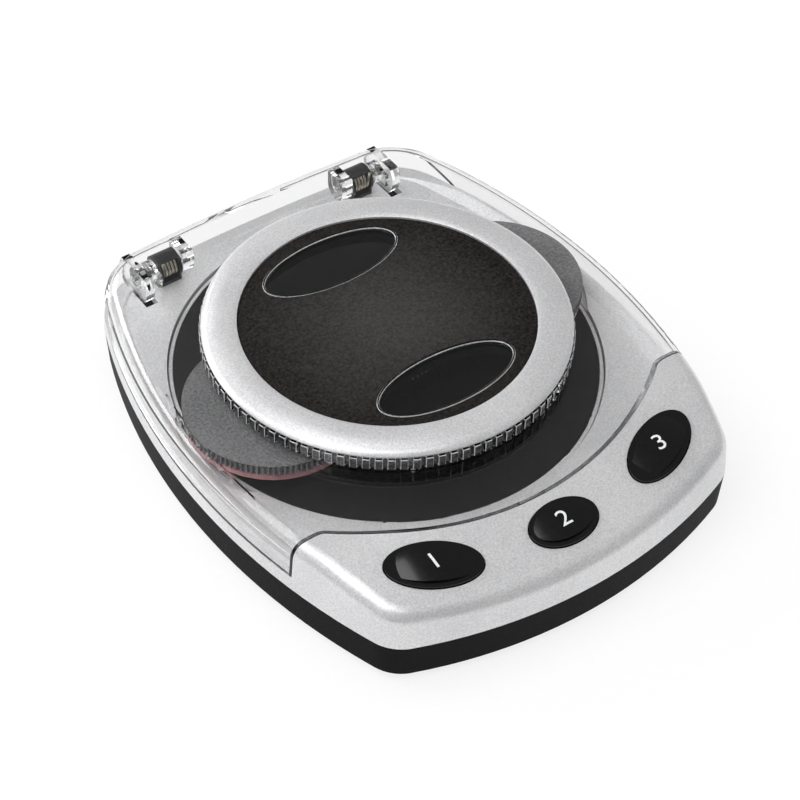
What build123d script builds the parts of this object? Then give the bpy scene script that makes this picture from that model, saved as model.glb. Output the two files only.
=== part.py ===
from build123d import *
import math
import os

# Tabletop disc repair machine. Millimetres. The origin is the centre of the footprint on the table,
# +X to the right, +Y to the hinged rear edge, +Z up.

# Gear teeth, as shares of the module: height above and depth below the pitch circle, half widths there
tooth_tip = 0.85
tooth_root = 1.10
tooth_tip_half = 0.40
tooth_root_half = 0.98

# Clearances
running_gap = 0.05      # radial, round a turning or sliding shaft
seat_gap = 0.02         # radial, round a shaft that is pressed in
button_gap = 0.3        # round a button in its hole
swing_gap = 0.35        # between the lid and what it closes against

# Plan outline: four arcs and four corner radii
half_width = 74.1
half_length = 88.5
widest_y = -0.5
side_radius = 205.0
front_radius = 150.0
rear_radius = 700.0
front_corner = 13.0
rear_corner = 22.0

# Levels
foot_drop = 1.4
split_z = 14.6          # where the silver casing meets the dark tray
ledge_z = 19.0          # the lid's skirt stands just above this
deck_z = 20.0
lid_top_z = 31.2

# Walls
tray_wall = 2.0
casing_wall = 2.0
lid_wall = 1.5
deck_thickness = 2.6
seam_wall = 1.8

# Outer form of the casing's panel and the lid together
form_draft = 3.7
shoulder = 5.0
inner_bevel = 0.59      # share of the shoulder's inner radius, where the inside is bevelled
panel_break_y = -52.0
panel_slope = 10.6
panel_blend = 40.0

# Seam between the lid and the button panel
seam_y = -63.5
seam_radius = 94.0
seam_side_y = -42.3
seam_turn = 4.0
groove_width = 2.4
groove_half = 64.0
groove_floor_z = 17.2
trough_wall = 1.5

# Raised lip round the deck
lip_inset = 2.4
lip_crest = 1.2
lip_slope = 3.4
lip_height = 1.5
lip_fall_y = 60.0
lip_end_y = 75.5
lip_end_height = 0.3
deck_end_y = 83.5
rear_ledge_z = 17.4     # low enough for the lid's rear edge when it swings down

# Tray
tray_draw_in = 0.9
tray_edge = 1.6
foot_radius = 5.0
foot_recess = 0.6
front_foot = (50.0, -62.0)
rear_foot = (42.0, 66.0)

# Casing screws
boss_radius = 3.2
screw_well_wall = 1.0
casing_screw_radius = 1.4
casing_screw_head = 2.7
casing_screw_head_height = 1.8
screw_well_z = 6.0
front_boss = (60.0, -56.0)
rear_boss = (54.0, 66.0)
casing_screw_top_z = 17.0

# Disc well
well_y = 11.5
well_radius = 65.0
well_floor_z = 15.6
well_floor = 1.6
cup_wall = 2.0
lobe_clearance = 2.4
lobe_floor_z = 18.6

# Turntable
rim_radius = 64.5
rim_width = 1.0
rim_top_z = 19.0
plate_under_z = 17.0
plate_top_z = 18.6
mat_top_z = 19.2
mat_inset = 0.2
hub_boss_radius = 8.0
hub_boss_drop = 0.6
flange_radius = 17.0
disc_seat_z = 21.3
disc_hole_pin = 7.4
pin_height = 1.9
pin_chamfer = 0.3
dog_corner = 5.4
dog_top_z = 26.8
dog_taper = 4.0
dog_gap = 0.45
disc_thickness = 1.2

# Spindle and its drive
spindle_radius = 3.0
spindle_bottom_z = 3.2
spindle_top_z = 20.6
bush_radius = 6.0
bush_flange_radius = 7.4
bush_flange = 0.6
bush_bottom_z = 13.4
bearing_radius = 6.0
bearing_top_z = 6.8
drive_module = 1.0
rim_depth = 5.0         # from the spindle gear's pitch circle to its web
web_thickness = 2.0
pinion_teeth = 10
big_teeth = 56
small_teeth = 14
spindle_teeth = 80
train_angle = -74.8     # from +X, spindle towards the motor
big_gear_z = 4.2
big_gear_height = 2.4
small_gear_top_z = 11.4
spindle_gear_z = 7.8
spindle_gear_height = 3.0
pinion_height = 2.6
gear_axle_radius = 1.5
gear_axle_top_z = 12.4
gear_axle_depth = 1.0   # into the tray's floor
gear_axle_boss = 3.5
motor_radius = 12.0
motor_under_z = 8.4
motor_height = 7.0
motor_shaft_radius = 1.0
motor_nose_radius = 2.5
motor_edge = 1.0
bracket_thickness = 1.0
bracket_reach = 17.0
bracket_arm = 3.5
bracket_post_radius = 3.0
bracket_screw_radius = 1.1
bracket_screw_head = 2.1
bracket_screw_head_height = 1.3
bracket_screw_depth = 3.0

# Circuit board and its switches
board_z = 15.9
board_thickness = 1.6
board_inset = 8.0
board_seam_gap = 1.5
board_half = 53.0
board_post_radius = 2.5
board_posts = ((-48.0, -64.0), (48.0, -64.0), (-14.0, -74.0))
switch_side = 6.0
switch_body = 1.8
switch_plunger_radius = 1.7
switch_plunger = 1.7

# Buttons
button_x = 39.4
button_y = -67.0
button_long = 14.0
button_short = 7.25
button_turn = 25.0
open_y = -73.7
open_long = 11.0
open_short = 7.0
button_step = 1.4
button_step_rise = 0.7
button_rise = 1.9
button_dome = 46.0
button_flange = 0.9
button_flange_thickness = 1.0
button_stem_radius = 2.5
button_travel = 0.8
open_travel = 1.5
stop_gap = 0.05

# Latch
latch_half = 6.0
latch_nose_half = 4.0
latch_under_z = 18.8
latch_thickness = 1.6
latch_front_y = -80.3
latch_neck_y = -66.4
latch_short = 0.25      # the nose stands this far short of the lid's tongue
latch_bevel = 1.1
latch_lip = 0.5         # upright part of the nose under its bevel
latch_overlap = 1.0     # of the nose into the plate
latch_window_half = 2.7
latch_window_rear_y = -69.9
latch_rail = 2.2
latch_shelf = 0.8
latch_rail_top_z = 21.0
latch_rail_front_y = -79.0
stem_half = 2.4
stem_rear_y = -71.7
stem_front_y = -75.7
stem_toe_y = -73.2
stem_root = 1.0         # of the wedge into the round stem

# Lid
skirt_gap = 0.3
front_skirt_z = 17.6
rise_start_y = 61.5
rise_end_y = 77.5
rear_skirt_z = 28.6
rise_blend = 7.0
opening_radius = 49.0

# Lid hinges, right-hand side; the left is mirrored
hinge_y = 78.8
hinge_z = 24.9
hinge_pin_radius = 1.0
hinge_pin_x = (27.7, 46.4)
knuckle_x = (27.3, 31.2)
knuckle_radius = 4.0
drum_x = (31.6, 39.0)
hub_x = (39.4, 43.7)
hub_radius = 3.5
sector_x = (43.7, 46.6)
sector_radius = 8.0
gusset_x = 41.5
gusset_width = 1.2
gusset_reach = 8.0
slot_x = (43.1, 47.2)
slot_front_y = 70.3
drum_cheek = 0.8
drum_cheek_radius = 4.4
drum_core_radius = 2.3
hood_inner = 3.85
hood_wall = 0.55
hood_start = -35.0
hood_end = 128.0
hood_corners = 4        # parts of the outline that bounds the hood's arc
drum_foot_half = 3.5
drum_foot_top_z = 21.05
drum_flange = 1.0
spring_wire = 0.65
wire_sides = 8
spring_radius = 3.2
spring_pitch = 1.1
spring_turns = 4.25
spring_foot_leg = 3.2
spring_lid_leg = 3.9
spring_samples = 60     # points a turn, for measuring the gap between turns

# Repair head in the lid
wheel_line = 3.3        # the wheels' line, turned from +X
wheel_module = 0.5
wheel_teeth = 104
sun_teeth = 62
wheel_under_z = 25.2
wheel_top_z = 29.0
sun_under_z = 25.3
sun_top_z = 28.9
sun_boss_radius = 4.0
sun_socket = 2.1
pad_radius = 26.2
pad_hole = 5.0
wheel_axle_radius = 2.0
wheel_axle_head = 3.6
wheel_axle_head_height = 0.8
carrier_under_z = 29.4
carrier_top_z = 32.4
carrier_radius = 48.8
carrier_flange_radius = 53.0
carrier_rib = 1.6
carrier_rib_height = 1.4
carrier_rib_gap = 1.0   # between the ribs and the sun gear's screw head
sun_screw_radius = 1.2
sun_screw_head = 5.4
sun_screw_head_height = 0.9
sun_screw_depth = 2.6
carrier_screw_circle = 51.0
carrier_screw_radius = 0.8
carrier_screw_head = 1.5
carrier_screw_head_height = 1.0
carrier_screw_angles = (60.0, 120.0, 240.0, 300.0)
lid_boss_radius = 2.0
lid_boss_z = 27.6
collar_inner = 53.3
collar_root = 54.2
collar_radius = 55.1
collar_top_z = 36.2
collar_teeth = 96
collar_tooth_share = 0.62
collar_rail = 0.55
ring_radius = 54.6
ring_ledge = 42.5
ring_ledge_thickness = 1.2
ring_roof_z = 36.9
ring_leg_inner = 46.8
ring_leg_outer = 48.2
ring_foot_width = 2.2   # where the ring stands on the collar
ring_rim_height = 0.5   # upright edge above the collar
# Points on the ring's crown: radius from the axis, height above the collar
ring_lip = (44.0, 1.9)
ring_slope = (45.0, 2.22)
ring_crest = (46.3, 2.35)
ring_back = (49.6, 2.25)
ring_crease = (52.4, 1.65)
ring_roll = (53.8, 1.15)
cap_gap = 0.1
cap_edge_z = 37.5
cap_crown = 0.5
window_y = 29.5
window_long = 23.5
window_short = 10.3
window_gap = 0.05
window_proud = 0.35
window_bevel = 0.9
window_flange = 0.9
window_flange_thickness = 0.9
carrier_window_margin = 1.1

# Supply socket in the tray's rear wall
socket_x = 30.0
socket_width = 9.0
socket_depth = 11.0
socket_height = 9.0
socket_gap = 0.1
socket_bore = 3.0
socket_bore_depth = 8.5
socket_pin = 1.0
socket_inset = 0.6

# Derived levels and places
floor_z = foot_drop + tray_wall
deck_under_z = deck_z - deck_thickness
lip_top_z = deck_z + lip_height
cup_under_z = well_floor_z - well_floor
board_top_z = board_z + board_thickness
switch_top_z = board_top_z + switch_body + switch_plunger
reduction_distance = drive_module * (small_teeth + spindle_teeth) / 2
motor_distance = reduction_distance + drive_module * (pinion_teeth + big_teeth) / 2
wheel_distance = wheel_module * (wheel_teeth + sun_teeth) / 2
pad_under_z = disc_seat_z + disc_thickness
skirt_z = ledge_z + skirt_gap
roof_under_z = lid_top_z - lid_wall
latch_top_z = latch_under_z + latch_thickness
latch_tip_y = seam_y + swing_gap - latch_short
stem_toe_z = board_top_z + stop_gap + open_travel
bracket_under_z = motor_under_z - bracket_thickness
ring_inner = ring_lip[0]


def place(distance, angle):
    """A point at a distance and an angle from the spindle's axis."""
    turn = math.radians(angle)
    return distance * math.cos(turn), well_y + distance * math.sin(turn)


gear_axle_at = place(reduction_distance, train_angle)
motor_at = place(motor_distance, train_angle)
wheel_right_at = place(wheel_distance, wheel_line)
wheel_left_at = place(wheel_distance, wheel_line + 180)


def rod(centre, radius, low, high):
    """An upright cylinder between two levels."""
    return extrude(Pos(centre[0], centre[1], low) * Circle(radius), amount=high - low)


def cross_rod(radius, reach):
    """A cylinder on the hinge's axis between two distances from the middle."""
    face = Plane(origin=(reach[0], hinge_y, hinge_z), x_dir=(0, 1, 0), z_dir=(1, 0, 0)) * Circle(radius)
    return extrude(face, amount=reach[1] - reach[0])


def block(x_span, y_span, z_span):
    """A box between pairs of coordinates."""
    size = [span[1] - span[0] for span in (x_span, y_span, z_span)]
    return Pos(x_span[0], y_span[0], z_span[0]) * Box(*size, align=(Align.MIN, Align.MIN, Align.MIN))


def outline(inset):
    """The body's plan outline, moved inwards."""
    side_shift = side_radius - half_width
    shape = Pos(side_shift, widest_y) * Circle(side_radius - inset)
    shape &= Pos(-side_shift, widest_y) * Circle(side_radius - inset)
    shape &= Pos(0, front_radius - half_length) * Circle(front_radius - inset)
    shape &= Pos(0, half_length - rear_radius) * Circle(rear_radius - inset)
    shape = fillet(shape.vertices().sort_by(Axis.Y)[:2], front_corner - inset)
    return fillet(shape.vertices().sort_by(Axis.Y)[-2:], rear_corner - inset)


def behind_seam(back):
    """The plan area behind the seam, its edge moved to the rear."""
    reach = 2 * half_length
    bow = Pos(0, seam_y + seam_radius) * Circle(seam_radius - back)
    rear = Pos(0, seam_side_y + back + reach / 2) * Rectangle(reach, reach)
    shape = bow + rear
    turns = [corner for corner in shape.vertices()
             if abs(corner.Y - seam_side_y - back) < seat_gap and abs(corner.X) < half_width]
    return fillet(turns, seam_turn + back)


def outer_form(inset, bevelled=False):
    """The drafted body above the tray, with its flat top, sloped panel and soft shoulder."""
    solid = extrude(Pos(0, 0, split_z) * outline(inset), amount=lid_top_z, taper=form_draft)
    top = lid_top_z - inset
    far = 2 * half_length
    drop = math.tan(math.radians(panel_slope)) * (far + panel_break_y)
    crown = Plane.YZ * Polygon((-far, top - drop), (panel_break_y, top), (far, top),
                               (far, far), (-far, far), align=None)
    bend = [corner for corner in crown.vertices() if abs(corner.Y - panel_break_y) < seat_gap]
    solid -= extrude(fillet(bend, panel_blend), amount=far, both=True)
    walls = [face for face in solid.faces() if abs(face.normal_at().Z) < 0.5]
    tops = [face for face in solid.faces() if face.normal_at().Z > 0.9]
    wall_edges = [edge for face in walls for edge in face.edges()]
    rim = [edge for face in tops for edge in face.edges()
           if any(edge.is_same(other) for other in wall_edges)]
    if bevelled:
        return chamfer(rim, inner_bevel * (shoulder - inset))
    return fillet(rim, shoulder - inset)


def panel_plane(rise):
    """A plane parallel to the sloped panel, raised above it."""
    turn = math.radians(panel_slope)
    return Plane(origin=(0, panel_break_y, lid_top_z), x_dir=(1, 0, 0),
                 z_dir=(0, -math.sin(turn), math.cos(turn))).offset(rise)


def panel_slab(low, high):
    """Everything between two planes parallel to the panel."""
    return extrude(panel_plane(low) * Rectangle(4 * half_width, 4 * half_length), amount=high - low)


def gear(teeth, module, phase, centre, low, high, bore):
    """A spur gear with one tooth's middle at the phase angle."""
    pitch_radius = teeth * module / 2
    step = 2 * math.pi / teeth
    # Each corner: radius, and half the tooth's width there
    tip = (pitch_radius + tooth_tip * module, tooth_tip_half * module)
    root = (pitch_radius - tooth_root * module, tooth_root_half * module)
    points = []
    for tooth in range(teeth):
        middle = math.radians(phase) + tooth * step
        for (radius, half), side in ((root, -1), (tip, -1), (tip, 1), (root, 1)):
            angle = middle + side * half / radius
            points.append((radius * math.cos(angle), radius * math.sin(angle)))
    blank = extrude(Pos(centre[0], centre[1], low) * Polygon(*points, align=None), amount=high - low)
    return blank - rod(centre, bore, low, high)


def base_tray():
    tray = loft([Pos(0, 0, foot_drop) * outline(tray_draw_in), Pos(0, 0, split_z) * outline(0)], ruled=True)
    tray = chamfer(tray.faces().sort_by(Axis.Z)[0].edges(), tray_edge)
    room_foot = Pos(0, 0, floor_z) * outline(tray_draw_in + tray_wall)
    tray -= loft([room_foot, Pos(0, 0, split_z) * outline(tray_wall)], ruled=True)
    for x, y in mirrored_pair(front_boss) + mirrored_pair(rear_boss):
        tray += rod((x, y), boss_radius + screw_well_wall, floor_z, screw_well_z + tray_wall)
        tray += rod((x, y), boss_radius, floor_z, split_z)
        tray -= rod((x, y), casing_screw_head + button_gap, foot_drop, screw_well_z)
        tray -= rod((x, y), casing_screw_radius + running_gap, foot_drop, split_z)
    for x, y in feet_at():
        tray -= rod((x, y), foot_radius + running_gap, foot_drop, foot_drop + foot_recess)
    tray += rod((0, well_y), bearing_radius, floor_z, bearing_top_z)
    tray -= rod((0, well_y), spindle_radius + running_gap, spindle_bottom_z - running_gap, bearing_top_z)
    tray += rod(gear_axle_at, gear_axle_boss, floor_z, big_gear_z - 2 * running_gap)
    tray -= rod(gear_axle_at, gear_axle_radius + seat_gap, floor_z - gear_axle_depth, big_gear_z)
    for spot in bracket_posts():
        tray += rod(spot, bracket_post_radius, floor_z, bracket_under_z)
        tray -= rod(spot, bracket_screw_radius + seat_gap, bracket_under_z - bracket_screw_depth, bracket_under_z)
    for spot in board_posts:
        tray += rod(spot, board_post_radius, floor_z, board_z)
    notch = socket_width / 2 + socket_gap
    tray -= block((socket_x - notch, socket_x + notch), (half_length - socket_depth, half_length),
                  (floor_z, floor_z + socket_height + 2 * socket_gap))
    return tray


def mirrored_pair(spot):
    return [(-spot[0], spot[1]), (spot[0], spot[1])]


def feet_at():
    return mirrored_pair(front_foot) + mirrored_pair(rear_foot)


def bracket_posts():
    return [(motor_at[0] - bracket_reach, motor_at[1]), (motor_at[0] + bracket_reach, motor_at[1])]


def rubber_feet():
    feet = Part()
    for spot in feet_at():
        feet += rod(spot, foot_radius, 0, foot_drop + foot_recess)
    return chamfer(feet.faces().group_by(Axis.Z)[0].edges(), foot_recess)


def casing_screws():
    screws = Part()
    for spot in mirrored_pair(front_boss) + mirrored_pair(rear_boss):
        screws += rod(spot, casing_screw_head, screw_well_z - casing_screw_head_height, screw_well_z)
        screws += rod(spot, casing_screw_radius, screw_well_z, casing_screw_top_z)
    return screws


def well_cut():
    """The disc well, with the two shallow lobes that clear the wheels."""
    cut = rod((0, well_y), well_radius, well_floor_z, lid_top_z)
    lobe = wheel_module * wheel_teeth / 2 + lobe_clearance
    for spot in (wheel_left_at, wheel_right_at):
        cut += rod(spot, lobe, lobe_floor_z, lid_top_z)
    return cut


def deck_edge():
    """The deck and its lip, standing on the ledge behind the seam."""
    deck = extrude(Pos(0, 0, ledge_z) * outline(lip_inset), amount=lip_top_z - ledge_z)
    foot = Pos(0, 0, deck_z) * outline(lip_inset + lip_crest + lip_slope)
    brim = Pos(0, 0, lip_top_z) * outline(lip_inset + lip_crest)
    deck -= loft([foot, brim], ruled=True)
    end_z = deck_z + lip_end_height
    fall = Plane.YZ * Polygon((lip_fall_y, lip_top_z), (lip_end_y, end_z), (half_length, end_z),
                              (half_length, lid_top_z), (lip_fall_y, lid_top_z), align=None)
    deck -= extrude(fall, amount=half_width, both=True)
    return deck & extrude(Pos(0, 0, ledge_z) * behind_seam(groove_width), amount=lid_top_z)


def seam_band(front, rear, low, high):
    """A wall or slot that follows the seam, between two distances behind it."""
    band = behind_seam(front) - behind_seam(rear)
    return extrude(Pos(0, 0, low) * band, amount=high - low)


def button_face(long, short, at, turn):
    return Pos(at[0], at[1], split_z) * Rot(0, 0, turn) * Ellipse(long, short)


def panel_cavity():
    """The room inside the casing: all of it below the deck, and the panel's part above."""
    room = outer_form(casing_wall, bevelled=True)
    room -= extrude(Pos(0, 0, deck_under_z) * behind_seam(-seam_wall), amount=lid_top_z)
    trough = seam_band(-seam_wall, groove_width + trough_wall, groove_floor_z - trough_wall, deck_z)
    half = groove_half + trough_wall
    room -= trough & block((-half, half), (-half_length, half_length), (split_z, deck_z))
    return room - rod((0, well_y), well_radius + cup_wall, split_z, deck_z)


def latch_channel():
    """The shelf and the lipped rails that the latch slides in, on the back of the seam wall."""
    outer = latch_half + running_gap
    rear_y = seam_y - seam_wall / 2
    shelf_z = latch_under_z - running_gap - latch_shelf
    channel = block((-outer - latch_rail, outer + latch_rail), (latch_rail_front_y, rear_y),
                    (shelf_z, latch_rail_top_z))
    channel -= block((-outer, outer), (latch_rail_front_y, rear_y),
                     (shelf_z + latch_shelf, latch_top_z + running_gap))
    mouth = outer - latch_rail / 2
    channel -= block((-mouth, mouth), (latch_rail_front_y, rear_y), (latch_top_z, latch_rail_top_z))
    hole = latch_window_half + button_gap
    channel -= block((-hole, hole), (stem_front_y - button_gap, stem_rear_y + button_gap),
                     (shelf_z, latch_under_z))
    return channel


def rear_ledge():
    """The lower step behind the deck."""
    span = block((-half_width, half_width), (deck_end_y - casing_wall, half_length),
                 (rear_ledge_z - casing_wall, rear_ledge_z))
    return span & outer_form(0)


def hinge_cut():
    """The slot for the right-hand hinge's sector, and the pocket for the spring drum's foot."""
    cut = block(slot_x, (slot_front_y, half_length), (deck_under_z, lid_top_z))
    cut += cross_rod(sector_radius + swing_gap, slot_x)
    cut += block(drum_x, (hinge_y - drum_foot_half, hinge_y + drum_foot_half), (split_z, lid_top_z))
    flange = drum_foot_half + drum_flange
    return cut + block(drum_x, (hinge_y - flange, hinge_y + flange), (split_z, deck_under_z))


def top_casing():
    casing = outer_form(0)
    casing -= extrude(Pos(0, 0, ledge_z) * behind_seam(0), amount=lid_top_z)
    casing += deck_edge()
    casing -= block((-half_width, half_width), (deck_end_y, half_length), (rear_ledge_z, lid_top_z))
    groove = seam_band(0, groove_width, groove_floor_z, lid_top_z)
    casing -= groove & block((-groove_half, groove_half), (-half_length, half_length),
                             (groove_floor_z, lid_top_z))
    casing -= panel_cavity()
    casing += rear_ledge()
    casing += rod((0, well_y), well_radius + cup_wall, cup_under_z, deck_under_z)
    casing -= well_cut()
    casing -= rod((0, well_y), bush_radius + seat_gap, cup_under_z, well_floor_z)
    for x, y in mirrored_pair(rear_boss):
        casing += rod((x, y), boss_radius, split_z, deck_under_z)
    for x, y in mirrored_pair(front_boss):
        casing += rod((x, y), boss_radius, split_z, lid_top_z) & outer_form(casing_wall / 2)
    for spot in mirrored_pair(front_boss) + mirrored_pair(rear_boss):
        casing -= rod(spot, casing_screw_radius + seat_gap, split_z, casing_screw_top_z + button_gap)
    for side in (-1, 1):
        hole = button_face(button_long + button_gap, button_short + button_gap,
                           (side * button_x, button_y), side * button_turn)
        casing -= extrude(hole, amount=lid_top_z)
    hole = button_face(open_long + button_gap, open_short + button_gap, (0, open_y), 0)
    casing -= extrude(hole, amount=lid_top_z)
    casing += latch_channel()
    nose = latch_nose_half + button_gap
    casing -= block((-nose, nose), (seam_y - seam_wall - button_gap, seam_y + button_gap),
                    (latch_under_z - button_gap, latch_top_z + button_gap))
    cut = hinge_cut()
    return casing - cut - mirror(cut, about=Plane.YZ)


def button(long, short, at, turn, stem_z):
    """A stepped, domed button with a flange that holds it under the panel."""
    outer = extrude(button_face(long, short, at, turn), amount=lid_top_z)
    inner = extrude(button_face(long - button_step, short - button_step, at, turn), amount=lid_top_z)
    flange = extrude(button_face(long + button_flange, short + button_flange, at, turn), amount=lid_top_z)
    flange_top = -casing_wall - button_gap
    slope = math.tan(math.radians(panel_slope))
    surface_z = lid_top_z + slope * (at[1] - panel_break_y)
    crown = Pos(at[0], at[1] + slope * button_dome, surface_z + button_rise - button_dome)
    cap = outer & panel_slab(flange_top, button_step_rise)
    dome = inner & panel_slab(flange_top, 2 * button_rise)
    dome &= crown * Sphere(button_dome / math.cos(math.radians(panel_slope)))
    cap += dome
    cap += flange & panel_slab(flange_top - button_flange_thickness, flange_top)
    return cap + rod(at, button_stem_radius, stem_z, surface_z - casing_wall - button_flange_thickness)


def side_button(side):
    stem_z = switch_top_z + stop_gap + button_travel
    return button(button_long, button_short, (side * button_x, button_y), side * button_turn, stem_z)


def open_button():
    """The middle button; its wedge foot pushes the latch forward."""
    cap = button(open_long, open_short, (0, open_y), 0, latch_rail_top_z + open_travel + button_gap)
    toe_rise = stem_toe_y - stem_front_y
    root_z = latch_rail_top_z + open_travel + button_gap + stem_root
    side = Plane.YZ * Polygon((stem_toe_y, stem_toe_z), (stem_rear_y, stem_toe_z), (stem_rear_y, root_z),
                              (stem_front_y, root_z), (stem_front_y, stem_toe_z + toe_rise), align=None)
    return cap + extrude(side, amount=stem_half, both=True)


def latch_slider():
    """A flat slider with a bevelled nose and a ramp that the middle button's wedge pushes."""
    plate = block((-latch_half, latch_half), (latch_front_y, latch_neck_y), (latch_under_z, latch_top_z))
    root_y = latch_neck_y - latch_overlap
    nose = Plane.YZ * Polygon((root_y, latch_under_z), (latch_tip_y, latch_under_z),
                              (latch_tip_y, latch_under_z + latch_lip),
                              (latch_tip_y - latch_bevel, latch_top_z), (root_y, latch_top_z), align=None)
    plate += extrude(nose, amount=latch_nose_half, both=True)
    ramp_y = stem_toe_y + stem_toe_z - 2 * running_gap
    window = Plane.YZ * Polygon((latch_window_rear_y, latch_under_z), (latch_window_rear_y, latch_top_z),
                                (ramp_y - latch_top_z, latch_top_z), (ramp_y - latch_under_z, latch_under_z),
                                align=None)
    return plate - extrude(window, amount=latch_window_half, both=True)


def platter():
    dish = rod((0, well_y), rim_radius, plate_under_z - hub_boss_drop, rim_top_z)
    dish -= rod((0, well_y), rim_radius - rim_width, plate_top_z, rim_top_z)
    dish -= rod((0, well_y), rim_radius - 2 * rim_width, plate_under_z - hub_boss_drop, plate_under_z)
    dish += rod((0, well_y), hub_boss_radius, plate_under_z - hub_boss_drop, plate_under_z)
    return dish - rod((0, well_y), spindle_radius + seat_gap, plate_under_z - hub_boss_drop, rim_top_z)


def platter_mat():
    outer = rim_radius - rim_width - mat_inset
    mat = rod((0, well_y), outer, plate_top_z, mat_top_z)
    return mat - rod((0, well_y), flange_radius + mat_inset, plate_top_z, mat_top_z)


def disc_hub():
    """The disc's seat and centring pin, with the six-sided dog that drives the head."""
    hub = rod((0, well_y), flange_radius, plate_top_z, disc_seat_z)
    pin = rod((0, well_y), disc_hole_pin, disc_seat_z, disc_seat_z + pin_height + pin_chamfer)
    pin_top = pin.faces().sort_by(Axis.Z)[-1]
    hub += chamfer(pin_top.edges(), pin_chamfer - running_gap)
    dog_z = disc_seat_z + pin_height
    dog = Pos(0, well_y, dog_z) * RegularPolygon(dog_corner, 6)
    hub += extrude(dog, amount=dog_top_z - dog_z, taper=dog_taper)
    return hub - rod((0, well_y), spindle_radius + seat_gap, plate_top_z, spindle_top_z + running_gap)


def spindle():
    shaft = rod((0, well_y), spindle_radius, spindle_bottom_z, spindle_top_z)
    return chamfer(shaft.edges().filter_by(GeomType.CIRCLE), 10 * running_gap)


def spindle_bush():
    bush = rod((0, well_y), bush_radius, bush_bottom_z, well_floor_z)
    bush += rod((0, well_y), bush_flange_radius, well_floor_z, well_floor_z + bush_flange)
    return bush - rod((0, well_y), spindle_radius + running_gap, bush_bottom_z, well_floor_z + bush_flange)


def spindle_gear():
    """The spindle's gear: a tooth faces the reduction gear. Rim, web and hub."""
    top = spindle_gear_z + spindle_gear_height
    wheel = gear(spindle_teeth, drive_module, train_angle, (0, well_y), spindle_gear_z, top,
                 spindle_radius + seat_gap)
    hollow = rod((0, well_y), spindle_teeth * drive_module / 2 - rim_depth, spindle_gear_z + web_thickness, top)
    return wheel - (hollow - rod((0, well_y), hub_boss_radius, spindle_gear_z, top))


def reduction_gear():
    """The large gear has a tooth towards the motor, the small one a gap towards the spindle."""
    bore = gear_axle_radius + running_gap
    big_top = big_gear_z + big_gear_height
    big = gear(big_teeth, drive_module, train_angle, gear_axle_at, big_gear_z, big_top, bore)
    half_pitch = 180 / small_teeth
    small = gear(small_teeth, drive_module, train_angle + 180 + half_pitch, gear_axle_at, big_top,
                 small_gear_top_z, bore)
    return big + small


def motor_pinion():
    """The pinion has a gap towards the reduction gear."""
    half_pitch = 180 / pinion_teeth
    return gear(pinion_teeth, drive_module, train_angle + 180 + half_pitch, motor_at, big_gear_z,
                big_gear_z + pinion_height, motor_shaft_radius + seat_gap)


def drive_motor():
    can = rod(motor_at, motor_radius, motor_under_z, motor_under_z + motor_height)
    can = chamfer(can.faces().sort_by(Axis.Z)[-1].edges(), motor_edge)
    can += rod(motor_at, motor_nose_radius, bracket_under_z, motor_under_z)
    return can - rod(motor_at, motor_shaft_radius + running_gap, bracket_under_z,
                     motor_under_z + motor_height / 2)


def motor_shaft():
    return rod(motor_at, motor_shaft_radius, big_gear_z - 2 * running_gap,
               motor_under_z + motor_height / 2 - running_gap)


def motor_bracket():
    x, y = motor_at
    plate = rod(motor_at, motor_radius, bracket_under_z, motor_under_z)
    plate += block((x - bracket_reach, x + bracket_reach), (y - bracket_arm, y + bracket_arm),
                   (bracket_under_z, motor_under_z))
    for spot in bracket_posts():
        plate += rod(spot, bracket_arm, bracket_under_z, motor_under_z)
        plate -= rod(spot, bracket_screw_radius + running_gap, bracket_under_z, motor_under_z)
    return plate - rod(motor_at, motor_nose_radius + running_gap, bracket_under_z, motor_under_z)


def bracket_screws():
    screws = Part()
    for spot in bracket_posts():
        screws += rod(spot, bracket_screw_radius, bracket_under_z - bracket_screw_depth + running_gap,
                      motor_under_z)
        screws += rod(spot, bracket_screw_head, motor_under_z, motor_under_z + bracket_screw_head_height)
    return screws


def gear_axle():
    return rod(gear_axle_at, gear_axle_radius, floor_z - gear_axle_depth, gear_axle_top_z)


def circuit_board():
    face = outline(board_inset) - behind_seam(-seam_wall - board_seam_gap)
    face &= Pos(0, -half_length / 2) * Rectangle(2 * board_half, half_length)
    return extrude(Pos(0, 0, board_z) * face, amount=board_thickness)


def tact_switches():
    switches = Part()
    half = switch_side / 2
    for side in (-1, 1):
        x = side * button_x
        switches += block((x - half, x + half), (button_y - half, button_y + half),
                          (board_top_z, board_top_z + switch_body))
        switches += rod((x, button_y), switch_plunger_radius, board_top_z, switch_top_z)
    return switches


def dc_socket():
    rear_y = half_length - tray_draw_in - socket_inset
    half = socket_width / 2
    middle_z = floor_z + socket_gap + socket_height / 2
    body = block((socket_x - half, socket_x + half), (rear_y - socket_depth, rear_y),
                 (floor_z + socket_gap, floor_z + socket_gap + socket_height))
    mouth = Plane(origin=(socket_x, rear_y, middle_z), z_dir=(0, 1, 0))
    body -= extrude(mouth * Circle(socket_bore), amount=-socket_bore_depth)
    return body + extrude(mouth * Circle(socket_pin), amount=-socket_bore_depth)


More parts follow.
